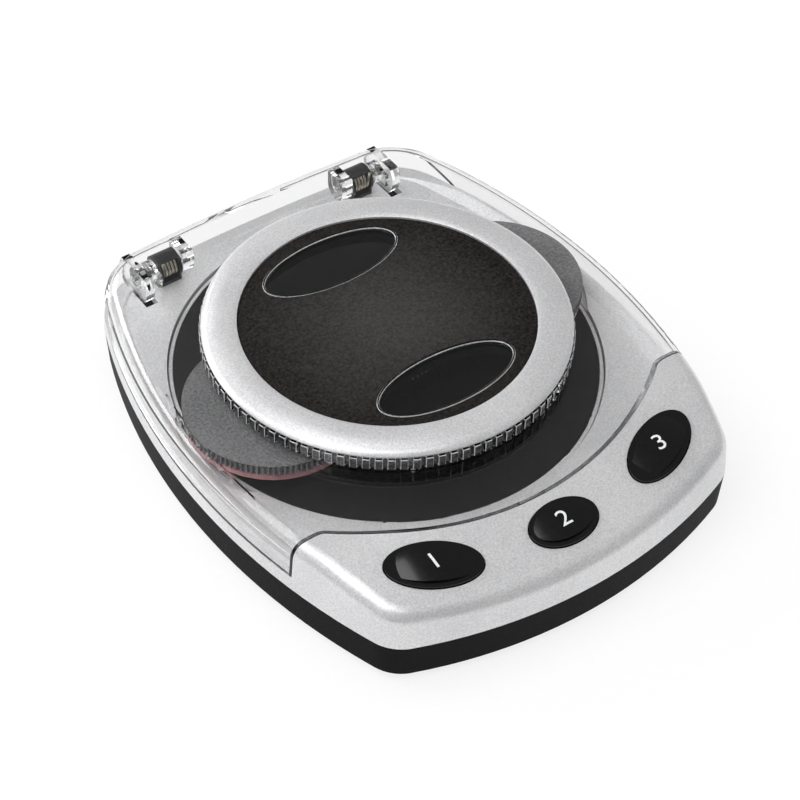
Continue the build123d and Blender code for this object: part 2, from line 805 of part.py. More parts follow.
def skirt_trim():
    """What is cut from under the lid: the ledge's room, and the rise towards the hinges."""
    low = block((-half_width, half_width), (-half_length, half_length), (0, skirt_z))
    tongue = seam_band(swing_gap, swing_gap + lid_wall, front_skirt_z, skirt_z)
    half = groove_half - swing_gap
    low -= tongue & block((-half, half), (-half_length, 0), (0, skirt_z))
    end_y = half_length + lid_wall
    rise = Plane.YZ * Polygon((rise_start_y, skirt_z), (rise_end_y, rear_skirt_z), (end_y, rear_skirt_z),
                              (end_y, 0), (rise_start_y, 0), align=None)
    bends = [corner for corner in rise.vertices()
             if abs(corner.Z - skirt_z) < seat_gap or abs(corner.Y - rise_end_y) < seat_gap]
    rise = fillet(bends, rise_blend)
    return low + extrude(rise, amount=half_width, both=True)


def hinge_leaf():
    """The lid's half of the right-hand hinge: knuckle, hub, swinging web and gusset."""
    knuckle = cross_rod(knuckle_radius, knuckle_x)
    knuckle += block(knuckle_x, (hinge_y - knuckle_radius, hinge_y + knuckle_radius), (hinge_z, roof_under_z))
    hub = cross_rod(hub_radius, hub_x)
    hub += cross_rod(sector_radius, sector_x)
    rib = (gusset_x - gusset_width / 2, gusset_x + gusset_width / 2)
    hub += block(rib, (hinge_y - gusset_reach, hinge_y), (hinge_z, roof_under_z))
    leaf = knuckle + hub
    leaf &= block((0, half_width), (0, half_length), (0, roof_under_z))
    return leaf - cross_rod(hinge_pin_radius + running_gap, (knuckle_x[0], sector_x[1]))


def lid_shell():
    """The clear lid: roof, skirts, front tongue, hinge leaves and screw bosses."""
    shell = outer_form(0) & extrude(behind_seam(swing_gap), amount=2 * lid_top_z)
    shell -= outer_form(lid_wall) & extrude(behind_seam(swing_gap + lid_wall), amount=2 * lid_top_z)
    shell -= block((-half_width, half_width), (-half_length, half_length), (0, front_skirt_z))
    shell -= skirt_trim()
    for angle in carrier_screw_angles:
        spot = place(carrier_screw_circle, angle + wheel_line)
        shell += rod(spot, lid_boss_radius, lid_boss_z, roof_under_z)
    shell -= rod((0, well_y), opening_radius, lid_boss_z, lid_top_z)
    for angle in carrier_screw_angles:
        spot = place(carrier_screw_circle, angle + wheel_line)
        shell -= rod(spot, carrier_screw_radius + seat_gap, lid_boss_z, lid_top_z)
    leaf = hinge_leaf()
    shell += leaf
    shell += mirror(leaf, about=Plane.YZ)
    nose = latch_nose_half + button_gap
    return shell - block((-nose, nose), (seam_y, seam_y + groove_width),
                         (latch_under_z - button_gap, latch_top_z + button_gap))


def hinge_pin():
    return cross_rod(hinge_pin_radius, hinge_pin_x)


def spring_drum():
    """The casing's half of the hinge: cheeks, core, hood and the foot that fills the deck's pocket."""
    left, right = drum_x
    foot_span = (hinge_y - drum_foot_half + running_gap, hinge_y + drum_foot_half - running_gap)
    drum = cross_rod(drum_core_radius, drum_x)
    for cheek in ((left, left + drum_cheek), (right - drum_cheek, right)):
        drum += cross_rod(drum_cheek_radius, cheek) + block(cheek, foot_span, (deck_z, hinge_z))
    arc = hood_end - hood_start
    sector = Plane(origin=(left, hinge_y, hinge_z), x_dir=(0, 1, 0), z_dir=(1, 0, 0))
    hood = sector * (Circle(hood_inner + hood_wall) - Circle(hood_inner))
    reach = 2 * hinge_z
    keep = [(0, 0)]
    for step in range(hood_corners + 1):
        turn = math.radians(hood_start + arc * step / hood_corners)
        keep.append((reach * math.cos(turn), reach * math.sin(turn)))
    hood &= sector * Polygon(*keep, align=None)
    drum += extrude(hood, amount=right - left)
    inner = (left + running_gap, right - running_gap)
    drum += block(inner, foot_span, (deck_under_z, drum_foot_top_z))
    ends = (foot_span[0] - drum_flange, foot_span[1] + drum_flange)
    drum += block(inner, ends, (deck_under_z - drum_flange, deck_under_z))
    return drum - cross_rod(hinge_pin_radius + seat_gap, drum_x)


def biarc(start, start_way, end, end_way):
    """Two arcs that join two points along the given directions."""
    chord = end - start
    total = start_way + end_way
    square = 2 * (1 - start_way.dot(end_way))
    along = chord.dot(total)
    reach = (math.sqrt(along ** 2 + square * chord.dot(chord)) - along) / square
    middle = (start + start_way * reach + end - end_way * reach) * 0.5
    first = TangentArc(start, middle, tangent=start_way)
    second = TangentArc(middle, end, tangent=first % 1)
    return [first, second]


def coil_point(turned):
    """Where the spring's centre line is after so many turns."""
    left = sum(drum_x) / 2 - spring_turns * spring_pitch / 2
    angle = math.radians(-90 - 360 * turned)
    return Vector(left + spring_pitch * turned, hinge_y + spring_radius * math.cos(angle),
                  hinge_z + spring_radius * math.sin(angle))


def coil_way(turned):
    """The direction of the spring's centre line after so many turns."""
    lead = spring_pitch / (2 * math.pi)
    angle = math.radians(-90 - 360 * turned)
    return Vector(lead, spring_radius * math.sin(angle), -spring_radius * math.cos(angle)).normalized()


def coil_gap():
    """The least gap between one turn of the spring and the next, measured on points."""
    count = int(spring_turns * spring_samples)
    points = [coil_point(step / spring_samples) for step in range(count + 1)]
    apart = spring_samples // 2
    pairs = [(points[i] - points[j]).length for i in range(count + 1) for j in range(i + apart, count + 1)]
    return min(pairs) - spring_wire


def hinge_spring():
    """A torsion spring of round wire: a leg on the foot, the coils, and a leg up to the lid."""
    # Half turns, and what is left of the last one
    stops = [half / 2 for half in range(int(2 * spring_turns) + 1)]
    if spring_turns > stops[-1]:
        stops.append(spring_turns)
    end = spring_turns
    edges = [Line(coil_point(0) - coil_way(0) * spring_foot_leg, coil_point(0))]
    for begin, finish in zip(stops, stops[1:]):
        edges += biarc(coil_point(begin), coil_way(begin), coil_point(finish), coil_way(finish))
    edges.append(Line(coil_point(end), coil_point(end) + coil_way(end) * spring_lid_leg))
    start = Plane(origin=edges[0] @ 0, z_dir=coil_way(0))
    return sweep(start * RegularPolygon(spring_wire / 2, wire_sides), path=Wire(edges))


def head_wheel(spot, angle):
    """A repair wheel with a tooth gap towards the sun gear."""
    half_pitch = 180 / wheel_teeth
    return gear(wheel_teeth, wheel_module, angle + 180 + half_pitch, spot, wheel_under_z, wheel_top_z,
                wheel_axle_radius + running_gap)


def pad(spot):
    return rod(spot, pad_radius, pad_under_z, wheel_under_z) - rod(spot, pad_hole, pad_under_z, wheel_under_z)


def wheel_axles():
    axles = Part()
    for spot in (wheel_left_at, wheel_right_at):
        head_z = wheel_under_z - 2 * running_gap
        axles += rod(spot, wheel_axle_head, head_z - wheel_axle_head_height, head_z)
        axles += rod(spot, wheel_axle_radius, head_z, carrier_top_z)
    return axles


def sun_gear():
    """The gear on the head's axis: teeth towards both wheels, a six-sided socket for the dog."""
    boss_top = carrier_top_z + running_gap
    wheel = gear(sun_teeth, wheel_module, wheel_line, (0, well_y), sun_under_z, sun_top_z, sun_screw_radius)
    wheel += rod((0, well_y), sun_boss_radius, sun_under_z, boss_top)
    socket = Pos(0, well_y, sun_under_z) * RegularPolygon(dog_corner + dog_gap, 6)
    wheel -= extrude(socket, amount=sun_socket)
    return wheel - rod((0, well_y), sun_screw_radius + seat_gap, boss_top - sun_screw_depth, boss_top)


def sun_gear_screw():
    boss_top = carrier_top_z + running_gap
    screw = rod((0, well_y), sun_screw_radius, boss_top - sun_screw_depth + running_gap, boss_top)
    return screw + rod((0, well_y), sun_screw_head, boss_top, boss_top + sun_screw_head_height)


def window_at(side, margin, level):
    return Pos(0, well_y + side * window_y, level) * Ellipse(window_long + margin, window_short + margin)


def wheel_carrier():
    """The plate that carries the wheels, standing in the lid's opening on its flange."""
    plate = rod((0, well_y), carrier_radius, carrier_under_z, carrier_top_z)
    plate += rod((0, well_y), carrier_flange_radius, lid_top_z, carrier_top_z)
    for side in (-1, 1):
        plate -= extrude(window_at(side, carrier_window_margin, carrier_under_z), amount=carrier_top_z)
    rib_top = carrier_top_z + carrier_rib_height
    ribs = block((-ring_ledge, ring_ledge), (-carrier_rib / 2, carrier_rib / 2), (carrier_top_z, rib_top))
    ribs -= rod((0, 0), sun_screw_head + carrier_rib_gap, carrier_top_z, rib_top)
    plate += Pos(0, well_y, 0) * Rot(0, 0, wheel_line) * ribs
    for spot in (wheel_left_at, wheel_right_at):
        plate -= rod(spot, wheel_axle_radius + seat_gap, carrier_under_z, rib_top)
    plate -= rod((0, well_y), sun_boss_radius + running_gap, carrier_under_z, carrier_top_z)
    for angle in carrier_screw_angles:
        spot = place(carrier_screw_circle, angle + wheel_line)
        plate -= rod(spot, carrier_screw_radius + running_gap, lid_top_z, carrier_top_z)
    return plate


def carrier_screws():
    screws = Part()
    for angle in carrier_screw_angles:
        spot = place(carrier_screw_circle, angle + wheel_line)
        screws += rod(spot, carrier_screw_radius, lid_boss_z + button_gap, carrier_top_z)
        screws += rod(spot, carrier_screw_head, carrier_top_z, carrier_top_z + carrier_screw_head_height)
    return screws


def toothed_collar():
    """The clear collar with square teeth between two plain rails."""
    points = []
    step = 2 * math.pi / collar_teeth
    half = step * collar_tooth_share / 2
    for tooth in range(collar_teeth):
        for radius, offset in ((collar_root, -half), (collar_radius, -half), (collar_radius, half),
                               (collar_root, half)):
            angle = tooth * step + offset
            points.append((radius * math.cos(angle), radius * math.sin(angle)))
    band = Pos(0, well_y, lid_top_z + collar_rail) * Polygon(*points, align=None)
    collar = extrude(band, amount=collar_top_z - lid_top_z - 2 * collar_rail)
    collar += rod((0, well_y), collar_root, lid_top_z, collar_top_z)
    return collar - rod((0, well_y), collar_inner, lid_top_z, collar_top_z)


def head_ring():
    """The silver ring: a rounded outer edge, a soft crest and a bevel down to the cap."""

    def crown(spot):
        return spot[0], collar_top_z + spot[1]

    ledge_under_z = collar_top_z - ring_ledge_thickness
    rim = (ring_radius, collar_top_z + ring_rim_height)
    with BuildPart() as ring:
        with BuildSketch(Plane.XZ):
            with BuildLine():
                Polyline(rim, (ring_radius, collar_top_z), (ring_radius - ring_foot_width, collar_top_z),
                         (ring_radius - ring_foot_width, ring_roof_z), (ring_leg_outer, ring_roof_z),
                         (ring_leg_outer, carrier_top_z), (ring_leg_inner, carrier_top_z),
                         (ring_leg_inner, ledge_under_z), (ring_ledge, ledge_under_z),
                         (ring_ledge, collar_top_z), (ring_inner, collar_top_z), crown(ring_lip))
                ThreePointArc(crown(ring_lip), crown(ring_slope), crown(ring_crest))
                ThreePointArc(crown(ring_crest), crown(ring_back), crown(ring_crease))
                ThreePointArc(crown(ring_crease), crown(ring_roll), rim)
            make_face()
        revolve(axis=Axis.Z)
    return Pos(0, well_y, 0) * ring.part


def head_cap():
    """The black cap inside the ring, very slightly domed, with two oval window openings."""
    edge = ring_inner - cap_gap
    cap = rod((0, well_y), edge, collar_top_z, cap_edge_z + 2 * cap_crown)
    dome = (edge ** 2 + cap_crown ** 2) / (2 * cap_crown)
    cap &= Pos(0, well_y, cap_edge_z + cap_crown - dome) * Sphere(dome)
    for side in (-1, 1):
        cap -= extrude(window_at(side, 0, collar_top_z), amount=lid_top_z)
    return cap


def window_pane(side):
    """A clear pane with a bevelled edge standing proud, and a flange under the cap."""
    top = cap_edge_z + window_proud
    pane = extrude(window_at(side, -window_gap, collar_top_z), amount=top - collar_top_z)
    pane = chamfer(pane.faces().sort_by(Axis.Z)[-1].edges(), window_bevel / 2, window_bevel)
    low = collar_top_z - window_flange_thickness
    return pane + extrude(window_at(side, window_flange, low), amount=window_flange_thickness)


os.makedirs("parts", exist_ok=True)
nodes = {
    "base_tray": base_tray(),
    "top_casing": top_casing(),
    "rubber_feet": rubber_feet(),
    "casing_screws": casing_screws(),
    "platter": platter(),
    "platter_mat": platter_mat(),
    "disc_hub": disc_hub(),
    "spindle": spindle(),
    "spindle_bush": spindle_bush(),
    "spindle_gear": spindle_gear(),
    "reduction_gear": reduction_gear(),
    "gear_axle": gear_axle(),
    "drive_motor": drive_motor(),
    "motor_shaft": motor_shaft(),
    "motor_pinion": motor_pinion(),
    "motor_bracket": motor_bracket(),
    "bracket_screws": bracket_screws(),
    "circuit_board": circuit_board(),
    "tact_switches": tact_switches(),
    "dc_socket": dc_socket(),
    "clean_button": side_button(-1),
    "open_button": open_button(),
    "repair_button": side_button(1),
    "latch_slider": latch_slider(),
    "lid_shell": lid_shell(),
    "hinge_pin_right": hinge_pin(),
    "hinge_pin_left": mirror(hinge_pin(), about=Plane.YZ),
    "spring_drum_right": spring_drum(),
    "spring_drum_left": mirror(spring_drum(), about=Plane.YZ),
    "hinge_spring_right": hinge_spring(),
    "hinge_spring_left": mirror(hinge_spring(), about=Plane.YZ),
    "wheel_carrier": wheel_carrier(),
    "carrier_screws": carrier_screws(),
    "toothed_collar": toothed_collar(),
    "head_ring": head_ring(),
    "head_cap": head_cap(),
    "window_front": window_pane(-1),
    "window_rear": window_pane(1),
    "sun_gear": sun_gear(),
    "sun_gear_screw": sun_gear_screw(),
    "wheel_left": head_wheel(wheel_left_at, wheel_line + 180),
    "wheel_right": head_wheel(wheel_right_at, wheel_line),
    "pad_left": pad(wheel_left_at),
    "pad_right": pad(wheel_right_at),
    "wheel_axles": wheel_axles(),
}
for name, shape in nodes.items():
    export_step(shape, f"parts/{name}.step")
print(f"least gap between the spring's turns: {coil_gap():.2f} mm")
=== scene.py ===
import math
import random

import bmesh
import bpy
from mathutils import Matrix, Vector
from mathutils.bvhtree import BVHTree


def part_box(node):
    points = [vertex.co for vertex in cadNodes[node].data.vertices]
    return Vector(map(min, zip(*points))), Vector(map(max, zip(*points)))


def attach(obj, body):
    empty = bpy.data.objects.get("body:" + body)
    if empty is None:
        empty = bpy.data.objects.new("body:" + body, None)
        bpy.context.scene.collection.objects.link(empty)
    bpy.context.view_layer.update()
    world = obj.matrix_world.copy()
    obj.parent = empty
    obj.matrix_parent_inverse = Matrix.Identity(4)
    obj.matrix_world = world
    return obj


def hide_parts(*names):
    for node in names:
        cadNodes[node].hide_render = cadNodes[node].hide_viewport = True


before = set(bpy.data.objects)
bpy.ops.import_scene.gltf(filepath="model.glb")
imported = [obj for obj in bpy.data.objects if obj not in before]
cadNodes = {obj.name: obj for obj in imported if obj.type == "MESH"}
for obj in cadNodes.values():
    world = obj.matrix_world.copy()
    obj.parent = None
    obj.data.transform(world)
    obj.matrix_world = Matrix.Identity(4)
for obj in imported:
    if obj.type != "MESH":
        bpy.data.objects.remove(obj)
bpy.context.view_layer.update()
print("frame loaded:", len(cadNodes), "nodes")

random.seed(7)
mm = 0.001
wellY = 11.5 * mm  # the turntable's axis
capTop = 37.5 * mm  # the middle of the head's cap


def linearColour(hexColour):
    # sRGB hex to the linear values the shaders take
    channels = [int(hexColour[i:i + 2], 16) / 255 for i in (1, 3, 5)]
    return [c / 12.92 if c <= 0.04045 else ((c + 0.055) / 1.055) ** 2.4 for c in channels] + [1.0]


plainWhite = linearColour("#ffffff")


def perMetre(sizeMm):
    # cells per metre of a pattern whose real size is given in millimetres
    return 1000 / sizeMm


def addNode(material, kind, settings=None, links=None):
    # settings go to a socket where the node has one of that name, or else to the node itself
    node = material.node_tree.nodes.new(kind)
    for key, value in (settings or {}).items():
        if isinstance(key, str) and hasattr(node, key) and key not in node.inputs:
            setattr(node, key, value)
    for key, value in (settings or {}).items():
        if isinstance(key, int) or key in node.inputs:
            node.inputs[key].default_value = value
    for key, source in (links or {}).items():
        material.node_tree.links.new(source, node.inputs[key])
    return node


def startMaterial(name):
    material = bpy.data.materials.new(name)
    material.use_nodes = True
    material.node_tree.nodes.clear()
    space = addNode(material, "ShaderNodeTexCoord").outputs["Object"]
    return material, space


def endMaterial(material, surface, volume=None):
    links = {"Surface": surface.outputs[0]}
    if volume:
        links["Volume"] = volume.outputs[0]
    addNode(material, "ShaderNodeOutputMaterial", {}, links)
    return material


def rampStops(node, stops):
    # stops: position and sRGB hex colour
    ramp = node.color_ramp
    while len(ramp.elements) < len(stops):
        ramp.elements.new(0.5)
    for element, (position, colour) in zip(ramp.elements, stops):
        element.position = position
        element.color = linearColour(colour)
    return node


# Metallic silver lacquer over moulded ABS: satin, with a fine flake that breaks up the reflections.
# The real flake is about 0.03 mm and is drawn at 0.6 mm, so that it shows.
# the black under the ring's spray edge is bare moulding and also a painted shade inside the head
silverLook = {"light": "#e6e6e7", "dark": "#cbcbcd", "bareAndShade": "#0c0c0d", "metallic": 0.5, "roughness": 0.38,
              "coat": 0.12, "coatRoughness": 0.25, "flakeMm": 0.6, "flakeDepth": 0.025, "flakeShare": 0.7,
              "cloudMm": 28, "ringSprayEdge": 36.25}


def silverLacquer(name="silverLacquerOnAbs", bareAndShadeBelow=None):
    material, space = startMaterial(name)
    cloud = addNode(material, "ShaderNodeTexNoise", {"Scale": perMetre(silverLook["cloudMm"]), "Detail": 3.0},
                    {"Vector": space})
    flake = addNode(material, "ShaderNodeTexNoise", {"Scale": perMetre(silverLook["flakeMm"]), "Detail": 2.0,
                                                     "Roughness": 0.7}, {"Vector": space})
    blend = addNode(material, "ShaderNodeMix", {"data_type": "FLOAT", 0: silverLook["flakeShare"]},
                    {2: cloud.outputs["Fac"], 3: flake.outputs["Fac"]})
    tone = rampStops(addNode(material, "ShaderNodeValToRGB", {}, {"Fac": blend.outputs[0]}),
                     [(0.38, silverLook["dark"]), (0.62, silverLook["light"])])
    sheen = addNode(material, "ShaderNodeMapRange", {"From Min": 0.3, "From Max": 0.7,
                                                     "To Min": silverLook["roughness"] - 0.05,
                                                     "To Max": silverLook["roughness"] + 0.06},
                    {"Value": flake.outputs["Fac"]})
    bump = addNode(material, "ShaderNodeBump", {"Strength": 0.25, "Distance": silverLook["flakeDepth"] * mm},
                   {"Height": flake.outputs["Fac"]})
    shader = addNode(material, "ShaderNodeBsdfPrincipled",
                     {"Metallic": silverLook["metallic"], "Coat Weight": silverLook["coat"],
                      "Coat Roughness": silverLook["coatRoughness"]},
                     {"Base Color": tone.outputs["Color"], "Roughness": sheen.outputs["Result"],
                      "Normal": bump.outputs["Normal"]})
    if bareAndShadeBelow is None:
        return endMaterial(material, shader)
    # the spray stops at the edge: under it the moulding is bare black, and this black also stands in for the
    # shade inside the head, a painted shade
    height = addNode(material, "ShaderNodeSeparateXYZ", {}, {"Vector": space})
    painted = addNode(material, "ShaderNodeMath", {"operation": "GREATER_THAN", 1: bareAndShadeBelow},
                      {0: height.outputs["Z"]})
    bareAndShade = addNode(material, "ShaderNodeBsdfPrincipled",
                   {"Base Color": linearColour(silverLook["bareAndShade"]), "Roughness": 0.6},
                   {"Normal": bump.outputs["Normal"]})
    both = addNode(material, "ShaderNodeMixShader", {},
                   {0: painted.outputs[0], 1: bareAndShade.outputs[0], 2: shader.outputs[0]})
    return endMaterial(material, both)


# Moulded plastics, each with what its tool's surface gives the eye. A real spark-eroded grain is 0.05 to
# 0.2 mm and is drawn at 0.7 mm or more, so that it shows. grainShare is the grain's part in the colour.
plasticLooks = {
    # spark-eroded tool: a dull charcoal that catches a soft grey edge light
    "charcoalAbsGrained": {"light": "#0a0a0b", "dark": "#050506", "roughness": 0.6, "specular": 0.1,
                           "grainMm": 0.7, "depth": 0.05, "cloudMm": 16, "grainShare": 0.5},
    # finer grain on the head's cap, warm black, with a painted sheen paler towards its middle
    "blackAbsFineGrain": {"light": "#2b2826", "dark": "#020202", "roughness": 0.55, "specular": 0.14,
                          "grainMm": 0.85, "depth": 0.12, "cloudMm": 30, "grainShare": 0.85,
                          "paintedSheenMiddle": 0.024, "paleFrom": 8, "paleTo": 40},
    # plain black mouldings in the hinge and the head
    "blackNylonMoulded": {"light": "#1c1c1e", "dark": "#111113", "roughness": 0.38, "specular": 0.5,
                          "grainMm": 0.8, "depth": 0.02, "cloudMm": 9, "grainShare": 0.5},
    # grey wheels, sandblasted tool
    "greyAbsSandblasted": {"light": "#7a7a7b", "dark": "#4c4c4d", "roughness": 0.65, "specular": 0.25,
                           "grainMm": 0.85, "depth": 0.1, "cloudMm": 12, "grainShare": 0.8},
    # natural acetal gears: waxy off-white
    "whiteAcetalMoulded": {"light": "#e8e6de", "dark": "#dbd8ce", "roughness": 0.34, "specular": 0.5,
                           "grainMm": 1.2, "depth": 0.01, "cloudMm": 10, "grainShare": 0.5},
}


def mouldedPlastic(name):
    look = plasticLooks[name]
    material, space = startMaterial(name)
    cloud = addNode(material, "ShaderNodeTexNoise", {"Scale": perMetre(look["cloudMm"]), "Detail": 4.0},
                    {"Vector": space})
    grain = addNode(material, "ShaderNodeTexNoise", {"Scale": perMetre(look["grainMm"]), "Detail": 3.0,
                                                     "Roughness": 0.65}, {"Vector": space})
    blend = addNode(material, "ShaderNodeMix", {"data_type": "FLOAT", 0: look["grainShare"]},
                    {2: cloud.outputs["Fac"], 3: grain.outputs["Fac"]})
    tone = rampStops(addNode(material, "ShaderNodeValToRGB", {}, {"Fac": blend.outputs[0]}),
                     [(0.35, look["dark"]), (0.65, look["light"])])
    if "paintedSheenMiddle" in look:
        # the head's cap: a painted sheen makes the grain paler towards its middle
        reach = addNode(material, "ShaderNodeVectorMath", {"operation": "DISTANCE", 1: (0, wellY, capTop)},
                        {0: space})
        paintedSheen = addNode(material, "ShaderNodeMapRange",
                       {"From Min": look["paleFrom"] * mm, "From Max": look["paleTo"] * mm,
                        "To Min": look["paintedSheenMiddle"], "To Max": 0.0}, {"Value": reach.outputs["Value"]})
        tone = addNode(material, "ShaderNodeMixRGB", {"blend_type": "ADD", "Fac": 1.0},
                       {"Color1": tone.outputs["Color"], "Color2": paintedSheen.outputs["Result"]})
    sheen = addNode(material, "ShaderNodeMapRange", {"From Min": 0.3, "From Max": 0.7,
                                                     "To Min": look["roughness"] - 0.06,
                                                     "To Max": look["roughness"] + 0.08},
                    {"Value": grain.outputs["Fac"]})
    bump = addNode(material, "ShaderNodeBump", {"Strength": 0.5, "Distance": look["depth"] * mm},
                   {"Height": grain.outputs["Fac"]})
    shader = addNode(material, "ShaderNodeBsdfPrincipled", {"IOR": 1.5, "Specular IOR Level": look["specular"]},
                     {"Base Color": tone.outputs["Color"], "Roughness": sheen.outputs["Result"],
                      "Normal": bump.outputs["Normal"]})
    return endMaterial(material, shader)


# Piano-black polished ABS: mirror gloss with a very slight orange peel and a trace of dust
pianoLook = {"colour": "#050506", "haze": "#0c0c0e", "roughness": 0.16, "coat": 0.3, "coatRoughness": 0.1,
             "peelMm": 3.5, "peelDepth": 0.01, "dustMm": 0.556}


def pianoBlack():
    material, space = startMaterial("pianoBlackAbsPolished")
    peel = addNode(material, "ShaderNodeTexNoise", {"Scale": perMetre(pianoLook["peelMm"]), "Detail": 2.0},
                   {"Vector": space})
    dust = addNode(material, "ShaderNodeTexNoise", {"Scale": perMetre(pianoLook["dustMm"]), "Detail": 4.0},
                   {"Vector": space})
    tone = rampStops(addNode(material, "ShaderNodeValToRGB", {}, {"Fac": dust.outputs["Fac"]}),
                     [(0.4, pianoLook["colour"]), (0.75, pianoLook["haze"])])
    gloss = addNode(material, "ShaderNodeMapRange", {"From Min": 0.45, "From Max": 0.75,
                                                     "To Min": pianoLook["roughness"],
                                                     "To Max": pianoLook["roughness"] + 0.1},
                    {"Value": dust.outputs["Fac"]})
    bump = addNode(material, "ShaderNodeBump", {"Strength": 0.3, "Distance": pianoLook["peelDepth"] * mm},
                   {"Height": peel.outputs["Fac"]})
    shader = addNode(material, "ShaderNodeBsdfPrincipled",
                     {"IOR": 1.5, "Coat Weight": pianoLook["coat"], "Coat Roughness": pianoLook["coatRoughness"]},
                     {"Base Color": tone.outputs["Color"], "Roughness": gloss.outputs["Result"],
                      "Normal": bump.outputs["Normal"]})
    return endMaterial(material, shader)


# Clear polycarbonate and acrylic, polished tool: bright edges, a faint waviness, and the deck shows through.
# depthGrey is what a metre of the plastic takes away, so only long ways along a wall look grey.
depthTint = "#bcbfc0"
clearLooks = {
    "clearPolycarbonateLid": {"tint": "#fefefe", "roughness": 0.02, "waveMm": 22, "waveDepth": 0.02,
                              "smearMm": 3.846, "depthGrey": 22.0},
    "clearPolycarbonateCollar": {"tint": "#fefefe", "roughness": 0.03, "waveMm": 6, "waveDepth": 0.02,
                                 "smearMm": 3.846, "depthGrey": 60.0},
    "clearAcrylicWindow": {"tint": "#fafafa", "roughness": 0.02, "waveMm": 14, "waveDepth": 0.01,
                           "smearMm": 3.846, "depthGrey": 220.0},
}


def clearPlastic(name):
    look = clearLooks[name]
    material, space = startMaterial(name)
    wave = addNode(material, "ShaderNodeTexNoise", {"Scale": perMetre(look["waveMm"]), "Detail": 1.0},
                   {"Vector": space})
    smear = addNode(material, "ShaderNodeTexNoise", {"Scale": perMetre(look["smearMm"]), "Detail": 5.0},
                    {"Vector": space})
    gloss = addNode(material, "ShaderNodeMapRange", {"From Min": 0.45, "From Max": 0.8,
                                                     "To Min": look["roughness"],
                                                     "To Max": look["roughness"] + 0.05},
                    {"Value": smear.outputs["Fac"]})
    bump = addNode(material, "ShaderNodeBump", {"Strength": 0.3, "Distance": look["waveDepth"] * mm},
                   {"Height": wave.outputs["Fac"]})
    shader = addNode(material, "ShaderNodeBsdfPrincipled",
                     {"Base Color": linearColour(look["tint"]), "IOR": 1.5, "Transmission Weight": 1.0},
                     {"Roughness": gloss.outputs["Result"], "Normal": bump.outputs["Normal"]})
    passing = addNode(material, "ShaderNodeBsdfTransparent", {"Color": linearColour("#fcfcfc")})
    path = addNode(material, "ShaderNodeLightPath")
    mixed = addNode(material, "ShaderNodeMixShader", {},
                    {0: path.outputs["Is Shadow Ray"], 1: shader.outputs[0], 2: passing.outputs[0]})
    depth = addNode(material, "ShaderNodeVolumeAbsorption",
                    {"Color": linearColour(depthTint), "Density": look["depthGrey"]})
    return endMaterial(material, mixed, depth)


# Metals: drawn, ground or plated, with tool lines made by stretching the pattern along an axis. Real lines
# are under 0.1 mm and are drawn at about 1 mm, so that they show.
toolLines = {"sizeMm": 1.111, "depth": 0.01}
metalLooks = {
    # ground shafts: fine rings round the bar
    "groundSteelShaft": {"light": "#c9c8c5", "dark": "#9d9c99", "roughness": 0.26, "stretch": (1, 1, 14)},
    # zinc plate: bluish and slightly blotched
    "zincPlatedSteel": {"light": "#c4c8cc", "dark": "#a3a8ad", "roughness": 0.33, "stretch": (1, 1, 1)},
    # deep-drawn can: faint vertical draw lines
    "drawnSteelCan": {"light": "#bdbebe", "dark": "#98999a", "roughness": 0.3, "stretch": (6, 6, 1)},
    # patented spring wire, lightly oiled: warm grey with yellow tints
    "oiledSpringWire": {"light": "#f0eadb", "dark": "#c4bba3", "roughness": 0.3, "stretch": (8, 1, 1)},
    # turned brass with tool rings
    "turnedBrass": {"light": "#d9b566", "dark": "#b08c42", "roughness": 0.24, "stretch": (1, 1, 16)},
}


def bareMetal(name):
    look = metalLooks[name]
    material, space = startMaterial(name)
    along = addNode(material, "ShaderNodeMapping", {"Scale": look["stretch"]}, {"Vector": space})
    lines = addNode(material, "ShaderNodeTexNoise", {"Scale": perMetre(toolLines["sizeMm"]), "Detail": 4.0,
                                                     "Roughness": 0.6}, {"Vector": along.outputs["Vector"]})
    tone = rampStops(addNode(material, "ShaderNodeValToRGB", {}, {"Fac": lines.outputs["Fac"]}),
                     [(0.35, look["dark"]), (0.65, look["light"])])
    sheen = addNode(material, "ShaderNodeMapRange", {"From Min": 0.3, "From Max": 0.7,
                                                     "To Min": look["roughness"] - 0.06,
                                                     "To Max": look["roughness"] + 0.1},
                    {"Value": lines.outputs["Fac"]})
    bump = addNode(material, "ShaderNodeBump", {"Strength": 0.35, "Distance": toolLines["depth"] * mm},
                   {"Height": lines.outputs["Fac"]})
    shader = addNode(material, "ShaderNodeBsdfPrincipled", {"Metallic": 1.0},
                     {"Base Color": tone.outputs["Color"], "Roughness": sheen.outputs["Result"],
                      "Normal": bump.outputs["Normal"]})
    return endMaterial(material, shader)


# Rubber and foam skins: dead matt with fine pits
rubberLooks = {
    "blackEvaFoamMat": {"light": "#110f0f", "dark": "#080707", "roughness": 0.85, "pitMm": 0.9, "depth": 0.08,
                        "cloudMm": 11.11},
    "blackRubberFoot": {"light": "#1c1c1d", "dark": "#131315", "roughness": 0.7, "pitMm": 0.7, "depth": 0.03,
                        "cloudMm": 11.11},
}


